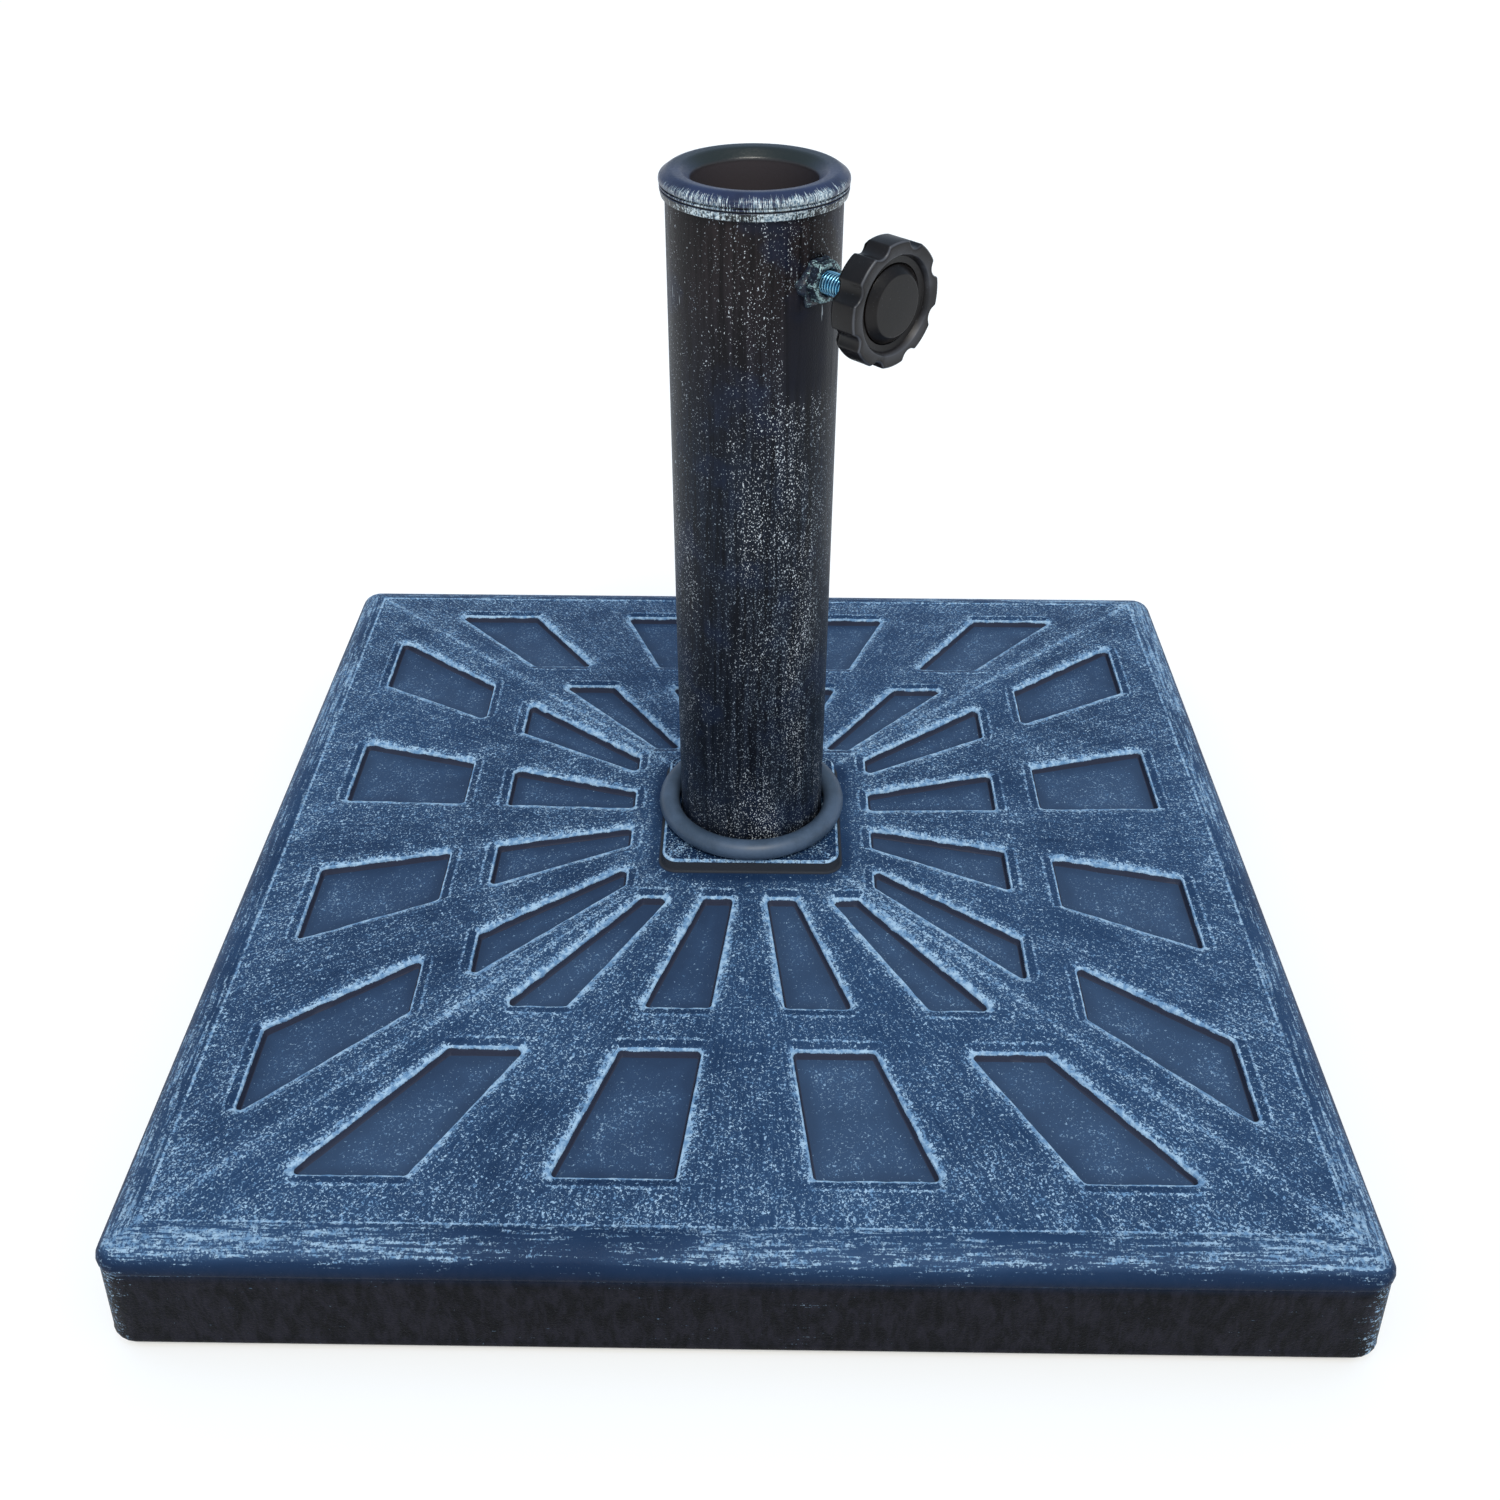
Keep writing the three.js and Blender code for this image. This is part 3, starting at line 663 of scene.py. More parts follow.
class Shader:
    """A material under construction, with short calls for the nodes it uses."""

    def __init__(self, name):
        self.material = bpy.data.materials.new(name)
        self.material.use_nodes = True
        self.tree = self.material.node_tree
        self.surface = self.tree.nodes["Principled BSDF"]
        self.place = self.tree.nodes.new("ShaderNodeTexCoord").outputs["Object"]

    def node(self, kind, **settings):
        made = self.tree.nodes.new(kind)
        for key, value in settings.items():
            setattr(made, key, value)
        return made

    def feed(self, socket, value):
        if isinstance(value, bpy.types.NodeSocket):
            self.tree.links.new(value, socket)
        else:
            socket.default_value = value

    def math(self, operation, *values, clamp=False):
        made = self.node("ShaderNodeMath", operation=operation, use_clamp=clamp)
        for socket, value in zip(made.inputs, values):
            self.feed(socket, value)
        return made.outputs[0]

    def plus(self, first, second):
        return self.math("ADD", first, second)

    def minus(self, first, second):
        return self.math("SUBTRACT", first, second)

    def times(self, first, second, clamp=False):
        return self.math("MULTIPLY", first, second, clamp=clamp)

    def absolute(self, value):
        return self.math("ABSOLUTE", value)

    def attribute(self, name):
        return self.node("ShaderNodeAttribute", attribute_name=name).outputs["Fac"]

    def split(self, vector):
        made = self.node("ShaderNodeSeparateXYZ")
        self.feed(made.inputs[0], vector)
        return made.outputs

    def joined(self, x, y, z):
        made = self.node("ShaderNodeCombineXYZ")
        for socket, value in zip(made.inputs, (x, y, z)):
            self.feed(socket, value)
        return made.outputs[0]

    def scaled(self, vector, x, y, z):
        made = self.node("ShaderNodeVectorMath", operation="MULTIPLY")
        self.feed(made.inputs[0], vector)
        made.inputs[1].default_value = (x, y, z)
        return made.outputs[0]

    def noise(self, scale, detail=3.0, roughness=0.55, distortion=0.0, vector=None):
        made = self.node("ShaderNodeTexNoise")
        self.feed(made.inputs["Vector"], vector or self.place)
        made.inputs["Scale"].default_value = scale
        made.inputs["Detail"].default_value = detail
        made.inputs["Roughness"].default_value = roughness
        made.inputs["Distortion"].default_value = distortion
        return made.outputs["Fac"]

    def spots(self, scale, randomness=1.0, vector=None):
        made = self.node("ShaderNodeTexVoronoi")
        self.feed(made.inputs["Vector"], vector or self.place)
        made.inputs["Scale"].default_value = scale
        made.inputs["Randomness"].default_value = randomness
        return made.outputs["Distance"]

    def ramp(self, value, low, high, start=0.0, end=1.0):
        """Smooth step of value from start at low to end at high."""
        made = self.node("ShaderNodeMapRange", interpolation_type="SMOOTHSTEP", clamp=True)
        for socket, number in zip(made.inputs, (value, low, high, start, end)):
            self.feed(socket, number)
        return made.outputs[0]

    def band(self, value, low, high, soft):
        """1 between low and high, falling to 0 over the soft distance outside them."""
        rise = self.ramp(value, low - soft, low)
        return self.times(rise, self.ramp(value, high, high + soft, 1.0, 0.0))

    def blend(self, factor, first, second):
        """first where the factor is 0, second where it is 1, for plain numbers."""
        made = self.node("ShaderNodeMix", data_type="FLOAT")
        for socket, value in zip(made.inputs[0:4], (factor, None, first, second)):
            if value is not None:
                self.feed(socket, value)
        return made.outputs[0]

    def caught(self, field, density, soft):
        """Where a noise field passes the threshold that a paint density from 0 to 1 sets."""
        threshold = self.minus(0.68, self.times(density, 0.24))
        return self.ramp(self.minus(field, threshold), 0.0, soft)

    def mix(self, factor, first, second):
        made = self.node("ShaderNodeMix", data_type="RGBA")
        self.feed(made.inputs[0], factor)
        self.feed(made.inputs[6], (*first, 1.0) if isinstance(first, tuple) else first)
        self.feed(made.inputs[7], (*second, 1.0) if isinstance(second, tuple) else second)
        return made.outputs[2]

    def bump(self, height, distance, strength=1.0):
        made = self.node("ShaderNodeBump")
        made.inputs["Strength"].default_value = strength
        made.inputs["Distance"].default_value = distance
        self.feed(made.inputs["Height"], height)
        return made.outputs[0]

    def finish(self, colour, roughness, normal=None, metallic=0.0, **fixed):
        self.feed(self.surface.inputs["Base Color"], colour)
        self.feed(self.surface.inputs["Roughness"], roughness)
        self.feed(self.surface.inputs["Metallic"], metallic)
        if normal:
            self.feed(self.surface.inputs["Normal"], normal)
        for key, value in fixed.items():
            self.surface.inputs[key.replace("_", " ")].default_value = value
        return self.material


def srgb(red, green, blue):
    """A screen colour, 0 to 255, as the linear colour that a shader takes."""
    def linear(value):
        value /= 255
        return value / 12.92 if value <= 0.04045 else ((value + 0.055) / 1.055) ** 2.4
    return tuple(linear(v) for v in (red, green, blue))


def slab_places(s):
    """Where a point lies on the slab: coordinates, and the distances in mm kept in the mesh."""
    x, y, z = s.split(s.place)[0:3]
    ax, ay = s.absolute(x), s.absolute(y)
    out = s.math("MAXIMUM", ax, ay)
    pad = s.attribute("pad")
    pad_level = s.ramp(z, PAD_TOP - 1.3 * MM, PAD_TOP - 0.9 * MM)
    near_pad_edge = s.ramp(s.absolute(pad), 1.2, 2.0, 1.0, 0.0)
    return SimpleNamespace(
        x=x, z=z, ax=ax, ay=ay, out=out, pad=pad, pad_level=pad_level,
        share=s.math("DIVIDE", s.math("MINIMUM", ax, ay), s.math("MAXIMUM", out, 0.001)),
        rim=s.attribute("rim"),
        flank=s.attribute("flank"),
        pad_side=s.times(s.minus(1.0, pad_level), near_pad_edge),
    )


def slab_noises(s, at):
    """The noises that the slab's paint is made of."""
    half = s.times(s.math("SIGN", at.x), 9.0)
    ray_place = s.joined(s.times(at.share, 150.0), s.times(at.out, 55.0), half)
    return SimpleNamespace(
        worms=s.noise(1120, 2.0, 0.6, 0.7),
        patches=s.minus(s.noise(40, 4.0, 0.6), 0.5),
        rays=s.minus(s.noise(1.0, 4.0, 0.65, 0.3, ray_place), 0.5),
        clouds=s.noise(9, 2.0, 0.5),
        ragged=s.times(s.minus(s.noise(330, 3.0, 0.7), 0.5), 2.6),
        broken=s.ramp(s.noise(75, 3.0, 0.6), 0.36, 0.60, 0.35, 1.0),
        drift=s.times(s.minus(s.noise(16, 3.0, 0.6), 0.5), 1.5),
    )


def top_density(s, at, grain):
    """Paint density on the slab's top: pocket rims, hips, frame line, border and pad."""
    rough_rim = s.plus(at.rim, grain.ragged)
    flank_band = s.times(s.ramp(rough_rim, 1.0, 4.0, 1.0, 0.0), s.ramp(at.flank, 0.35, 0.6))
    crest = s.ramp(s.plus(at.rim, s.times(grain.ragged, 0.35)), 0.35, 0.95, 1.0, 0.0)
    outer_line = s.times(s.band(rough_rim, 4.0, 4.7, 0.5), s.ramp(at.flank, 0.35, 0.6, 1.0, 0.3))
    hollow = s.times(s.band(at.rim, 1.6, 3.4, 0.6), s.ramp(at.flank, 0.35, 0.6, 1.0, 0.0))
    hip = s.plus(s.absolute(s.minus(at.ax, at.ay)), s.times(grain.ragged, 0.6 * MM))
    hip_line = s.times(s.ramp(hip, 0.8 * MM, 2.4 * MM, 1.0, 0.0), grain.broken)
    frame_line = s.band(at.out, EDGE_START + 0.3 * MM, EDGE_START + 0.9 * MM, 0.4 * MM)
    density = s.plus(0.50, grain.patches)
    for part, weight in (
        (grain.rays, 1.1),
        (s.times(flank_band, grain.broken), 0.95), (crest, 1.15), (outer_line, 0.4), (hollow, -0.15),
        (hip_line, 0.30), (s.ramp(hip, 0.0, 12 * MM, 0.35, 0.0), 0.5),
        (s.times(frame_line, grain.broken), 0.7),
        (s.ramp(at.out, 190 * MM, 206 * MM), 0.12),
        (s.times(s.band(at.pad, -0.9, 0.2, 0.5), at.pad_level), 1.1),
        (s.band(at.pad, 0.5, 4.0, 4.0), -0.35), (at.pad_side, -2.0),
    ):
        density = s.plus(density, s.times(part, weight))
    return density


def floor_density(s, at, grain, wall):
    """Paint density in a pocket: thin, thicker beside its walls and none on them."""
    density = s.plus(0.08, s.times(s.ramp(at.rim, -9.0, -2.0, 1.0, 0.0), 0.3))
    density = s.plus(density, s.times(grain.patches, 1.3))
    return s.minus(density, wall)


def edge_density(s, at, grain):
    """Paint density on the rounded edge: thickest on its crown and towards the corners."""
    crown = s.band(at.z, PARTING_Z + 7.5 * MM, PARTING_Z + 10.3 * MM, 2.2 * MM)
    ends = s.ramp(s.math("MINIMUM", at.ax, at.ay), 50 * MM, 200 * MM, 0.0, 0.30)
    density = s.plus(s.times(crown, s.plus(0.27, ends)), grain.drift)
    return s.plus(density, s.ramp(at.z, PARTING_Z + 2 * MM, PARTING_Z + 6.7 * MM, -0.12, 0.36))


def brushed_weave(s, at, grain):
    """Brush streaks along the nearest side of the slab, broken up by the flecks."""
    along_x = s.noise(1.0, 4.0, 0.7, 0.4, s.scaled(s.place, 60, 700, 900))
    along_y = s.noise(1.0, 4.0, 0.7, 0.4, s.scaled(s.place, 700, 60, 900))
    streaks = s.blend(s.math("GREATER_THAN", at.ax, at.ay), along_x, along_y)
    return s.minus(s.plus(s.times(streaks, 0.95), s.times(grain.worms, 0.65)), 0.30)


def side_paint(s, at, grain, weave):
    """Paint on the upright sides: on their corners and along the parting line."""
    corner = s.ramp(at.share, 0.925, 0.990, 0.0, 0.80)
    parting = s.times(s.band(at.z, PARTING_Z - 0.7 * MM, PARTING_Z + 0.1 * MM, 0.3 * MM), 0.4)
    density = s.plus(s.plus(corner, parting), s.times(grain.drift, 0.5))
    caught = s.caught(weave, s.minus(density, 0.18), 0.08)
    return s.times(caught, s.ramp(corner, 0.2, 0.8, 0.5, 0.85))


def resin_ground(s, at, grain, inside, wall, side, haze):
    """The dark colour under the dry-brushed paint: navy to slate on the top, near-black on the upright
    sides. The top's blue is partly the paint's own tone and partly painted sky reflection, so the step
    from top to sides is painted light.
    """
    # Navy on the top and slate in the pockets: partly the paint's tone, partly painted sky reflection.
    navy = s.mix(s.ramp(grain.clouds, 0.35, 0.65), srgb(20, 39, 66), srgb(28, 51, 81))
    slate = s.mix(s.ramp(grain.clouds, 0.4, 0.6), srgb(43, 60, 85), srgb(50, 68, 93))
    ground = s.mix(inside, navy, slate)
    ground = s.mix(s.times(wall, 0.7), ground, srgb(50, 48, 58))
    ground = s.mix(at.pad_side, ground, srgb(45, 48, 54))
    ground = s.mix(haze, ground, srgb(74, 105, 142))
    grime = s.noise(1.0, 4.0, 0.7, 0.5, s.scaled(s.place, 260, 260, 90))
    flecked_black = s.mix(s.ramp(grime, 0.35, 0.68), srgb(4, 6, 11), srgb(25, 25, 34))
    # The sides turn near-black while the top keeps its blue: painted light.
    return s.mix(side, ground, flecked_black)


def antique_resin():
    """Near-black navy with pale blue dry-brushed over flecks, rims, hips and the rounded edge.

    One density says how much pale paint caught at each place; fine noise decides where.
    """
    s = Shader("antique_resin")
    at = slab_places(s)
    grain = slab_noises(s, at)
    inside = s.ramp(at.rim, -0.5, -0.05, 1.0, 0.0)
    wall = s.band(at.rim, -1.3, -0.3, 0.3)
    on_edge = s.ramp(at.out, EDGE_START + 0.4 * MM, EDGE_START + 2.2 * MM)
    side = s.ramp(at.z, PARTING_Z - 4.5 * MM, PARTING_Z + 7.7 * MM, 1.0, 0.0)

    top = s.blend(inside, top_density(s, at, grain), floor_density(s, at, grain, wall))
    edge = edge_density(s, at, grain)
    weave = brushed_weave(s, at, grain)
    edge_paint = s.times(s.caught(weave, edge, 0.13), 0.85)
    paint = s.blend(on_edge, s.caught(grain.worms, top, 0.085), edge_paint)
    paint = s.blend(side, paint, side_paint(s, at, grain, weave))
    rough_rim = s.plus(at.rim, s.times(grain.ragged, 0.12))
    line = s.times(s.band(rough_rim, 0.05, 0.45, 0.3), s.ramp(grain.broken, 0.35, 1.0, 0.45, 0.9))
    paint = s.math("MAXIMUM", s.times(paint, s.ramp(inside, 0.0, 1.0, 0.92, 0.6)), line)

    haze = s.times(s.blend(on_edge, top, s.minus(edge, 0.25)), 0.42, clamp=True)
    haze = s.times(haze, s.ramp(side, 0.0, 1.0, 1.0, 0.0))
    on_pad = s.times(s.ramp(at.pad, -0.3, 0.3, 1.0, 0.0), at.pad_level)
    haze = s.times(haze, s.minus(1.0, on_pad))
    ground = resin_ground(s, at, grain, inside, wall, side, haze)
    pale = s.mix(s.ramp(s.noise(420, 3.0), 0.35, 0.65), srgb(104, 140, 175), srgb(166, 194, 216))
    colour = s.mix(paint, ground, pale)

    relief = s.plus(s.times(grain.worms, 0.7), s.times(s.noise(2600, 2.0, 0.6), 0.3))
    relief = s.times(relief, s.ramp(at.rim, -1.2, 0.2, 0.45, 1.0))
    normal = s.bump(s.plus(relief, s.times(paint, 0.35)), 0.30 * MM, 0.8)
    roughness = s.ramp(s.plus(grain.worms, s.times(paint, 0.2)), 0.3, 0.8, 0.42, 0.60)
    return s.finish(colour, roughness, normal, Specular_IOR_Level=0.07)


def mast_paint():
    """Near-black paint brushed up and down, with fine silver speckle, a few scratches and a painted shadow
    of the knob below the nut.
    """
    s = Shader("mast_paint")
    x, y, z = s.split(s.place)[0:3]
    grains = s.noise(2000, 1.0, 0.5, 0.5, s.scaled(s.place, 1, 1, 0.7))
    streak = s.noise(420, 4.0, 0.65, 0.4, s.scaled(s.place, 1, 1, 0.045))
    clumps = s.noise(55, 3.0, 0.6, 0.0, s.scaled(s.place, 1, 1, 0.35))
    angle = s.math("ARCTAN2", x, s.times(y, -1.0))
    # More speckle towards the front-right of the mast, where the light falls: painted highlight.
    front = s.ramp(s.absolute(s.minus(angle, 0.45)), 0.2, 1.0, 0.22, 0.06)
    # Painted shadow of the knob and nut: a patch below the nut with fewer specks and a darker blue-black
    # ground.
    beside_nut = s.ramp(s.absolute(s.minus(angle, 0.86)), 0.38, 0.58, 1.0, 0.0)
    below_nut = s.absolute(s.minus(z, CLAMP_CENTRE.z - 23 * MM))
    painted_knob_shadow = s.times(beside_nut, s.ramp(below_nut, 12 * MM, 22 * MM, 1.0, 0.0))

    density = s.plus(s.times(s.minus(clumps, 0.46), 0.40), front)
    density = s.plus(density, s.times(s.minus(streak, 0.5), 0.9))
    density = s.minus(density, s.ramp(z, 200 * MM, 330 * MM, 0.0, 0.18))
    density = s.minus(density, painted_knob_shadow)
    scratch = s.ramp(s.noise(150, 2.0, 0.5, 2.2, s.scaled(s.place, 1, 1, 0.12)), 0.745, 0.76)
    silver = s.math("MAXIMUM", s.caught(grains, density, 0.045), s.times(scratch, 0.8))

    warm = s.ramp(z, 240 * MM, 335 * MM)
    dark = s.mix(warm, srgb(9, 12, 19), srgb(19, 15, 16))
    mid = s.mix(warm, srgb(27, 33, 44), srgb(39, 33, 34))
    base = s.mix(s.ramp(streak, 0.36, 0.66), dark, mid)
    blue = s.times(s.ramp(s.noise(38, 3.0, 0.6), 0.50, 0.66), 0.4)
    base = s.mix(blue, base, srgb(26, 38, 62))
    # Painted shadow: the patch below the nut is darkened to blue-black.
    base = s.mix(s.times(painted_knob_shadow, 0.7), base, srgb(9, 12, 24))
    speck = s.mix(s.ramp(clumps, 0.4, 0.6), srgb(134, 147, 158), srgb(204, 210, 214))
    colour = s.mix(silver, base, speck)
    normal = s.bump(s.plus(s.times(streak, 0.5), grains), 0.14 * MM, 0.7)
    roughness = s.ramp(streak, 0.3, 0.7, 0.36, 0.52)
    return s.finish(colour, roughness, normal, s.times(silver, 0.2), Specular_IOR_Level=0.13)


def collar_paint():
    """Satin navy-black lip, with ragged silver strokes on its outer rim and lower band."""
    s = Shader("collar_plastic")
    x, y, z = s.split(s.place)[0:3]
    radius = s.math("SQRT", s.plus(s.times(x, x), s.times(y, y)))
    angle = s.math("ARCTAN2", y, x)
    rise = s.minus(z, COLLAR_BAND_Z)
    below_groove = s.ramp(rise, 2.4 * MM, 2.9 * MM, 1.0, 0.0)

    stroke_place = s.joined(s.times(angle, 70.0), s.times(radius, 90.0), s.times(z, 140.0))
    strokes = s.minus(s.times(s.noise(1.0, 4.0, 0.75, 0.2, stroke_place), 1.5), 0.26)
    drift = s.times(s.minus(s.noise(60, 3.0, 0.6), 0.5), 2.4)
    grains = s.noise(1200, 2.0, 0.6, 0.6)
    # More silver towards the front of the collar, where the light falls: painted highlight over the
    # dry-brush.
    front = s.ramp(y, -30 * MM, 6 * MM, 0.35, -0.45)
    reach = s.ramp(radius, 29.2 * MM, 32.8 * MM, -0.75, 0.60)
    rim = s.caught(strokes, s.plus(s.plus(reach, front), drift), 0.06)
    rim = s.times(rim, s.ramp(rise, 3.1 * MM, 3.4 * MM))
    wear_and_highlight = s.plus(s.times(strokes, 0.5), s.times(grains, 0.5))
    band = s.caught(wear_and_highlight, s.plus(s.plus(0.55, front), drift), 0.06)
    band = s.times(s.times(band, below_groove), s.ramp(radius, 31.8 * MM, 32.2 * MM))
    silver = s.math("MAXIMUM", rim, band)

    # Painted shade: the grooves under the lip are near-black.
    groove = s.band(rise, 2.8 * MM, 4.7 * MM, 0.1 * MM)
    groove = s.times(groove, s.ramp(radius, 32.2 * MM, 32.8 * MM, 1.0, 0.0))
    bore = s.ramp(radius, COLLAR_BORE_R + 0.1 * MM, COLLAR_BORE_R + 0.8 * MM, 1.0, 0.0)
    bore = s.times(bore, s.ramp(rise, 4.0 * MM, 6.5 * MM, 1.0, 0.0))
    # Painted reflection: the far side of the lip, towards its bore, takes a dark olive tint.
    back_lip_reflection = s.times(s.ramp(radius, 24 * MM, 33 * MM, 1.0, 0.35), s.ramp(y, -6 * MM, 16 * MM))
    base = s.mix(s.ramp(s.noise(70, 3.0), 0.35, 0.65), srgb(24, 32, 58), srgb(34, 44, 74))
    base = s.mix(back_lip_reflection, base, srgb(30, 36, 34))
    base = s.mix(below_groove, base, srgb(20, 24, 26))
    base = s.mix(groove, base, srgb(8, 9, 16))
    base = s.mix(bore, base, srgb(66, 60, 62))
    stroke = s.mix(s.ramp(grains, 0.35, 0.65), srgb(112, 136, 152), srgb(214, 224, 224))
    colour = s.mix(silver, base, stroke)
    normal = s.bump(s.plus(s.times(silver, 0.5), s.noise(1500, 2.0)), 0.08 * MM, 0.6)
    roughness = s.ramp(grains, 0.3, 0.7, 0.28, 0.40)
    return s.finish(colour, roughness, normal, s.times(silver, 0.2), Specular_IOR_Level=0.4)


def satin_plastic(name, dark, light, gloss, grain=900, depth=0.03, specular=0.42):
    """Plain moulded plastic with faint mottling, fine grain, pale specks, and pale edges where the mesh
    marks them, which are painted highlight.
    """
    s = Shader(name)
    mottle = s.noise(55, 4.0, 0.6)
    fine = s.noise(grain, 3.0, 0.6)
    colour = s.mix(s.ramp(s.plus(mottle, s.times(fine, 0.25)), 0.45, 0.8), dark, light)
    specks = s.times(s.ramp(s.noise(grain * 0.9, 1.0), 0.70, 0.76), 0.25)
    colour = s.mix(specks, colour, srgb(84, 88, 94))
    # Pale edges where the mesh marks them, on the knob: painted highlight.
    wear_and_highlight = s.times(s.attribute("wear_and_highlight"), s.ramp(mottle, 0.38, 0.55, 0.25, 0.8))
    colour = s.mix(wear_and_highlight, colour, srgb(96, 98, 104))
    roughness = s.ramp(s.plus(mottle, s.times(fine, 0.4)), 0.4, 1.0, gloss, gloss + 0.14)
    return s.finish(colour, roughness, s.bump(fine, depth * MM, 0.8), Specular_IOR_Level=specular)


def nut_paint():
    """Dark paint over a welded nut, with silver-green dry-brush on every high spot."""
    s = Shader("nut_paint")
    lumps = s.noise(420, 4.0, 0.7, 1.0)
    flecks = s.noise(1100, 2.0, 0.6, 1.2)
    density = s.plus(s.times(s.attribute("wear_and_highlight"), 0.7), s.ramp(lumps, 0.40, 0.60, 0.05, 0.45))
    paint = s.caught(flecks, density, 0.06)
    base = s.mix(s.ramp(lumps, 0.35, 0.65), srgb(9, 14, 27), srgb(22, 33, 50))
    colour = s.mix(paint, base, s.mix(lumps, srgb(110, 140, 146), srgb(176, 206, 204)))
    return s.finish(colour, s.ramp(lumps, 0.3, 0.7, 0.35, 0.55), s.bump(lumps, 0.35 * MM, 0.9),
                    s.times(paint, 0.3))


def zinc_plate():
    """Bright blue-passivated zinc, with painted shade darkening the thread's roots."""
    s = Shader("zinc_plated_steel")
    crest = s.attribute("crest")
    stain = s.noise(220, 4.0, 0.6)
    light = s.mix(s.ramp(stain, 0.35, 0.65), srgb(120, 190, 220), srgb(176, 224, 240))
    # Painted shade in the thread's roots.
    colour = s.mix(s.ramp(crest, 0.15, 0.75), srgb(20, 62, 96), light)
    normal = s.bump(s.noise(1800, 3.0), 0.03 * MM, 0.6)
    return s.finish(colour, s.ramp(stain, 0.3, 0.7, 0.22, 0.38), normal, 1.0)


def dull_zinc():
    """Plain zinc plate of the anchor parts, with white bloom."""
    s = Shader("zinc_dull")
    stain = s.noise(140, 5.0, 0.65)
    bloom = s.ramp(s.noise(420, 3.0, 0.6, 0.8), 0.55, 0.68)
    colour = s.mix(s.ramp(stain, 0.35, 0.65), srgb(120, 128, 134), srgb(170, 178, 182))
    colour = s.mix(s.times(bloom, 0.5), colour, srgb(196, 198, 196))
    metal = s.ramp(bloom, 0.0, 1.0, 1.0, 0.5)
    return s.finish(colour, s.ramp(stain, 0.3, 0.7, 0.32, 0.55), s.bump(stain, 0.06 * MM, 0.7), metal)


def concrete():
    """Trowelled mortar: sandy speckle, pores and pale patches."""
    s = Shader("concrete")
    patch = s.noise(18, 5.0, 0.6)
    sand = s.noise(700, 4.0, 0.7)
    pores = s.ramp(s.spots(150), 0.10, 0.17, 1.0, 0.0)
    pores = s.times(pores, s.ramp(s.noise(60, 3.0), 0.48, 0.6))
    colour = s.mix(s.ramp(s.plus(patch, s.times(sand, 0.5)), 0.5, 0.95),
                   srgb(116, 113, 108), srgb(160, 157, 150))
    colour = s.mix(pores, colour, srgb(60, 58, 55))
    height = s.minus(s.times(sand, 0.5), pores)
    return s.finish(colour, 0.9, s.bump(height, 0.5 * MM, 0.8))


def rubber():
    """Black rubber with faint bloom."""
    return satin_plastic("foot_rubber", srgb(20, 20, 20), srgb(38, 38, 38), 0.72, 1400, 0.06)


def assign(piece, material):
    piece.data.materials.clear()
    piece.data.materials.append(material)


# Assembly


def show(piece, material, body, slot, *nodes):
    assign(piece, material)
    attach(piece, body)
    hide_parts(*nodes)


resin = antique_resin()
paint = mast_paint()
collar = collar_paint()
nut = nut_paint()
zinc = zinc_plate()
anchor_zinc = dull_zinc()
ring_plastic = satin_plastic("ring_plastic", srgb(52, 66, 82), srgb(68, 84, 104), 0.40, 1100, 0.02)
knob_plastic = satin_plastic("knob_plastic", srgb(14, 11, 10), srgb(24, 20, 19), 0.27, 1500, 0.03, 0.24)
seat_plastic = satin_plastic("seat_plastic", srgb(34, 32, 32), srgb(50, 46, 45), 0.5, 1000, 0.05)
foot_rubber = rubber()
mortar = concrete()

show(build_slab(), resin, "base", "antique_resin", "base_shell")
show(build_mast(), paint, "base", "mast_paint", "mast_tube")
show(build_collar(), collar, "base", "collar_plastic", "top_collar")
show(build_seat(), seat_plastic, "base", "seat_plastic", "pole_seat")
show(build_nut(), nut, "base", "nut_paint", "clamp_nut")
show(build_weld(), nut, "base", "nut_paint", "clamp_nut_weld")
show(build_ring(), ring_plastic, "trim_ring", "ring_plastic", "foot_ring")
show(build_thrust_cap(), seat_plastic, "clamp_feed_body", "seat_plastic", "thrust_cap")
show(build_bolt(), zinc, "clamp_screw", "zinc_plated_steel", "clamp_bolt")
show(build_knob(), knob_plastic, "clamp_screw", "knob_plastic", "knob_body")
show(build_knob_cap(), knob_plastic, "clamp_screw", "knob_plastic", "knob_cap")
for number in range(1, 5):
    node = f"foot_pad_{number}"
    show(build_foot(node), foot_rubber, "base", "foot_rubber", node)

assign(frame["nodes"]["concrete_fill"], mortar)
assign(frame["nodes"]["mast_foot_plate"], paint)
for node in ("anchor_plate", "anchor_spring_washer", "anchor_bolt", "mast_foot_nut"):
    assign(frame["nodes"][node], anchor_zinc)


# Stage


def build_floor():
    floor = new_object("floor", [(-6, -6, 0), (6, -6, 0), (6, 6, 0), (-6, 6, 0)], [(0, 1, 2, 3)])
    s = Shader("floor")
    assign(floor, s.finish(s.mix(s.noise(2), (0.98, 0.955, 0.925), (0.99, 0.965, 0.935)), 0.9))


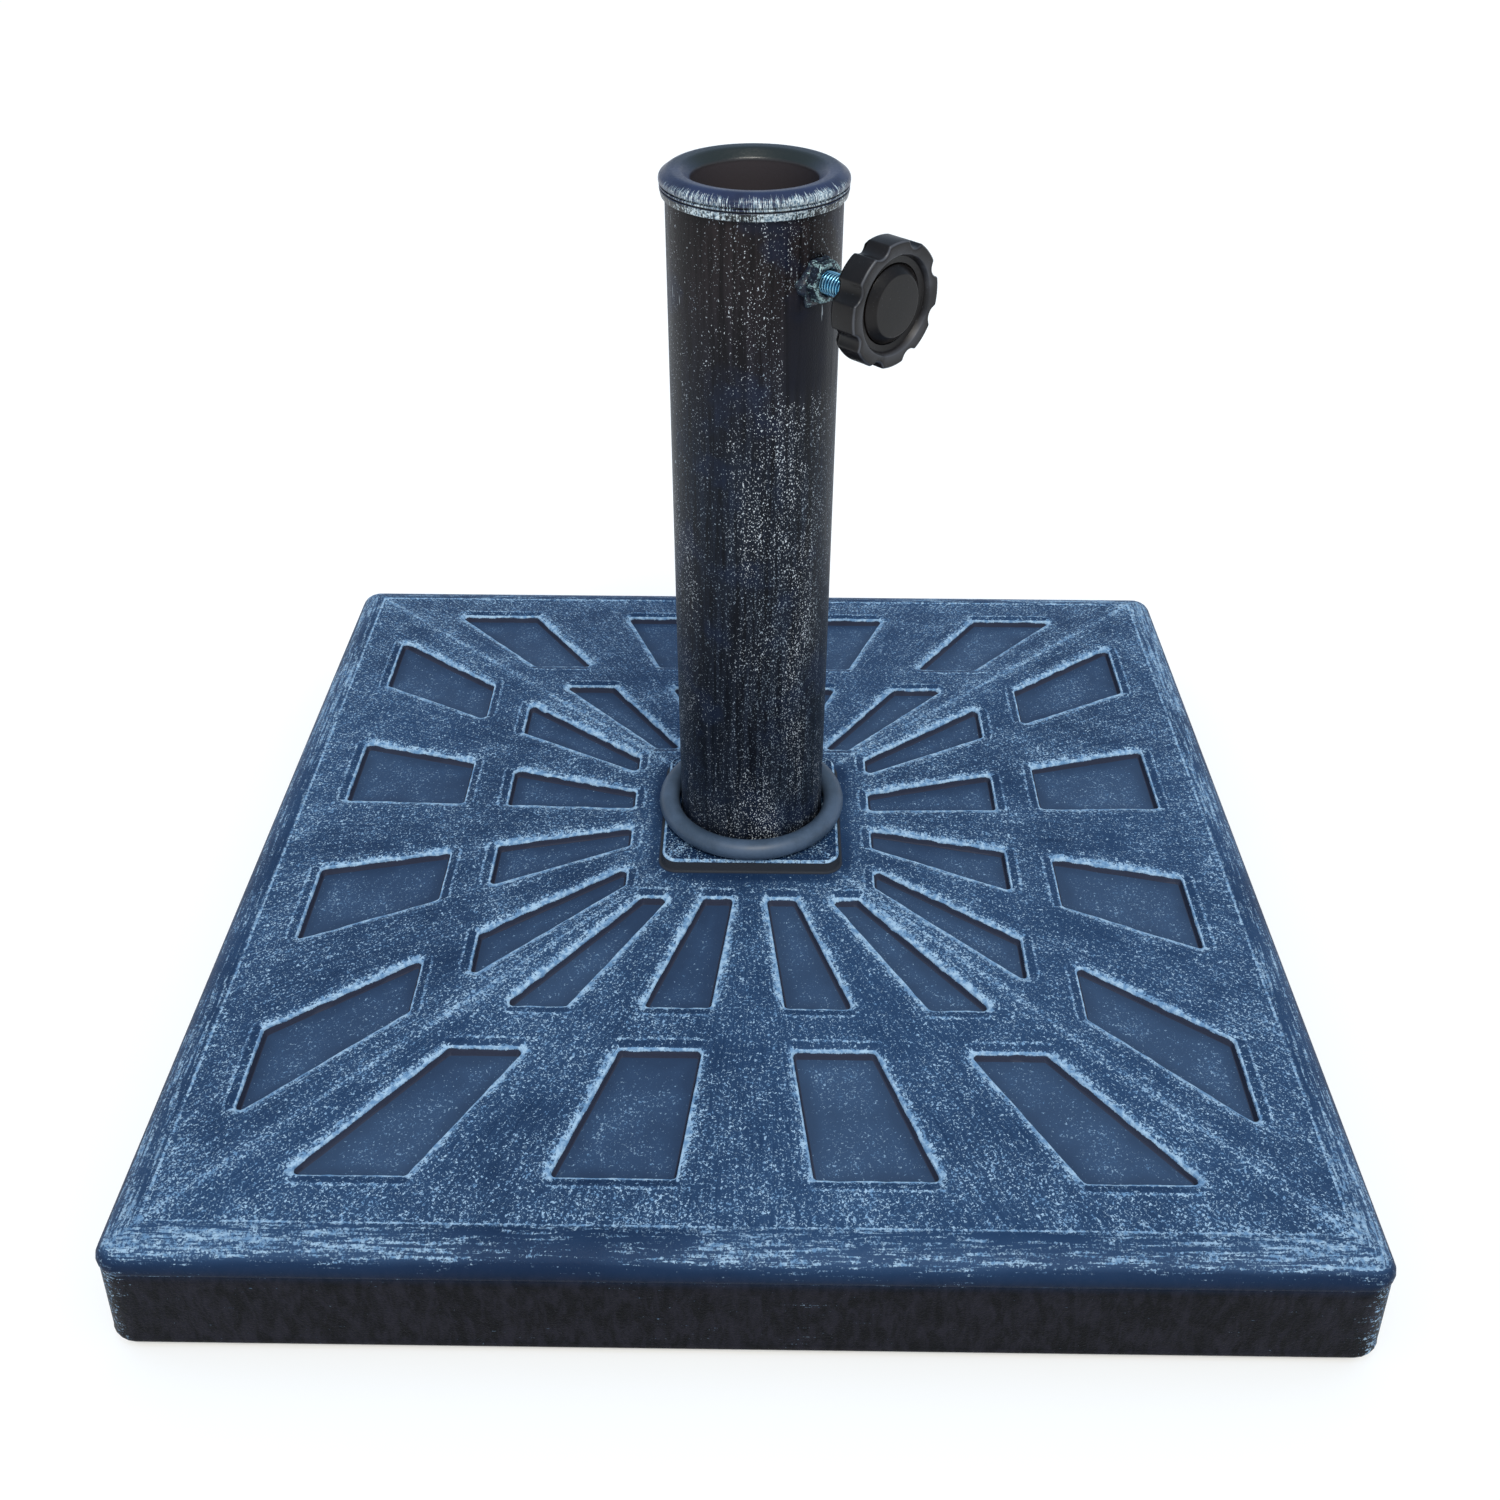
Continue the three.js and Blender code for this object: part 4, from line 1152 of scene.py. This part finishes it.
def build_sky():
    """Soft all-round light: near white at the horizon, pale blue overhead."""
    world = bpy.data.worlds.new("studio")
    world.use_nodes = True
    nodes, links = world.node_tree.nodes, world.node_tree.links
    background = nodes["Background"]
    background.inputs["Strength"].default_value = 0.9
    height = nodes.new("ShaderNodeSeparateXYZ")
    sky = nodes.new("ShaderNodeValToRGB")
    horizon, overhead = sky.color_ramp.elements
    horizon.position, horizon.color = 0.05, (0.84, 0.89, 0.95, 1)
    overhead.position, overhead.color = 0.35, (0.42, 0.56, 0.74, 1)
    links.new(nodes.new("ShaderNodeTexCoord").outputs["Generated"], height.inputs[0])
    links.new(height.outputs[2], sky.inputs[0])
    links.new(sky.outputs[0], background.inputs["Color"])
    bpy.context.scene.world = world


def build_key_light():
    """A wide warm sun from over the camera's shoulder."""
    key = bpy.data.lights.new("key", "SUN")
    key.energy = 2.6
    key.angle = math.radians(24)
    key.color = (1.0, 0.96, 0.88)
    holder = bpy.data.objects.new("key", key)
    holder.rotation_euler = Vector((0.14, -0.86, 1.30)).to_track_quat("Z", "Y").to_euler()
    bpy.context.scene.collection.objects.link(holder)


CAMERA_PLACE = Vector((4.7, -538.1, 496.2)) * MM
CAMERA_YAW = math.radians(-0.577)
CAMERA_PITCH = math.radians(36.33)
CAMERA_ROLL = math.radians(0.238)
CAMERA_LENS = 36.83


def build_camera():
    """Camera from its place, its three angles and its lens."""
    forward = Vector((
        math.sin(CAMERA_YAW) * math.cos(CAMERA_PITCH),
        math.cos(CAMERA_YAW) * math.cos(CAMERA_PITCH),
        -math.sin(CAMERA_PITCH),
    ))
    level = Vector((math.cos(CAMERA_YAW), -math.sin(CAMERA_YAW), 0))
    upright = level.cross(forward)
    right = level * math.cos(CAMERA_ROLL) + upright * math.sin(CAMERA_ROLL)
    up = upright * math.cos(CAMERA_ROLL) - level * math.sin(CAMERA_ROLL)
    camera = bpy.data.cameras.new("camera")
    camera.lens = CAMERA_LENS
    holder = bpy.data.objects.new("camera", camera)
    axes = Matrix((right, up, -forward)).transposed().to_4x4()
    holder.matrix_world = Matrix.Translation(CAMERA_PLACE) @ axes
    bpy.context.scene.collection.objects.link(holder)
    bpy.context.scene.camera = holder


build_floor()
build_sky()
build_key_light()
build_camera()
bpy.context.scene.view_settings.view_transform = "Standard"
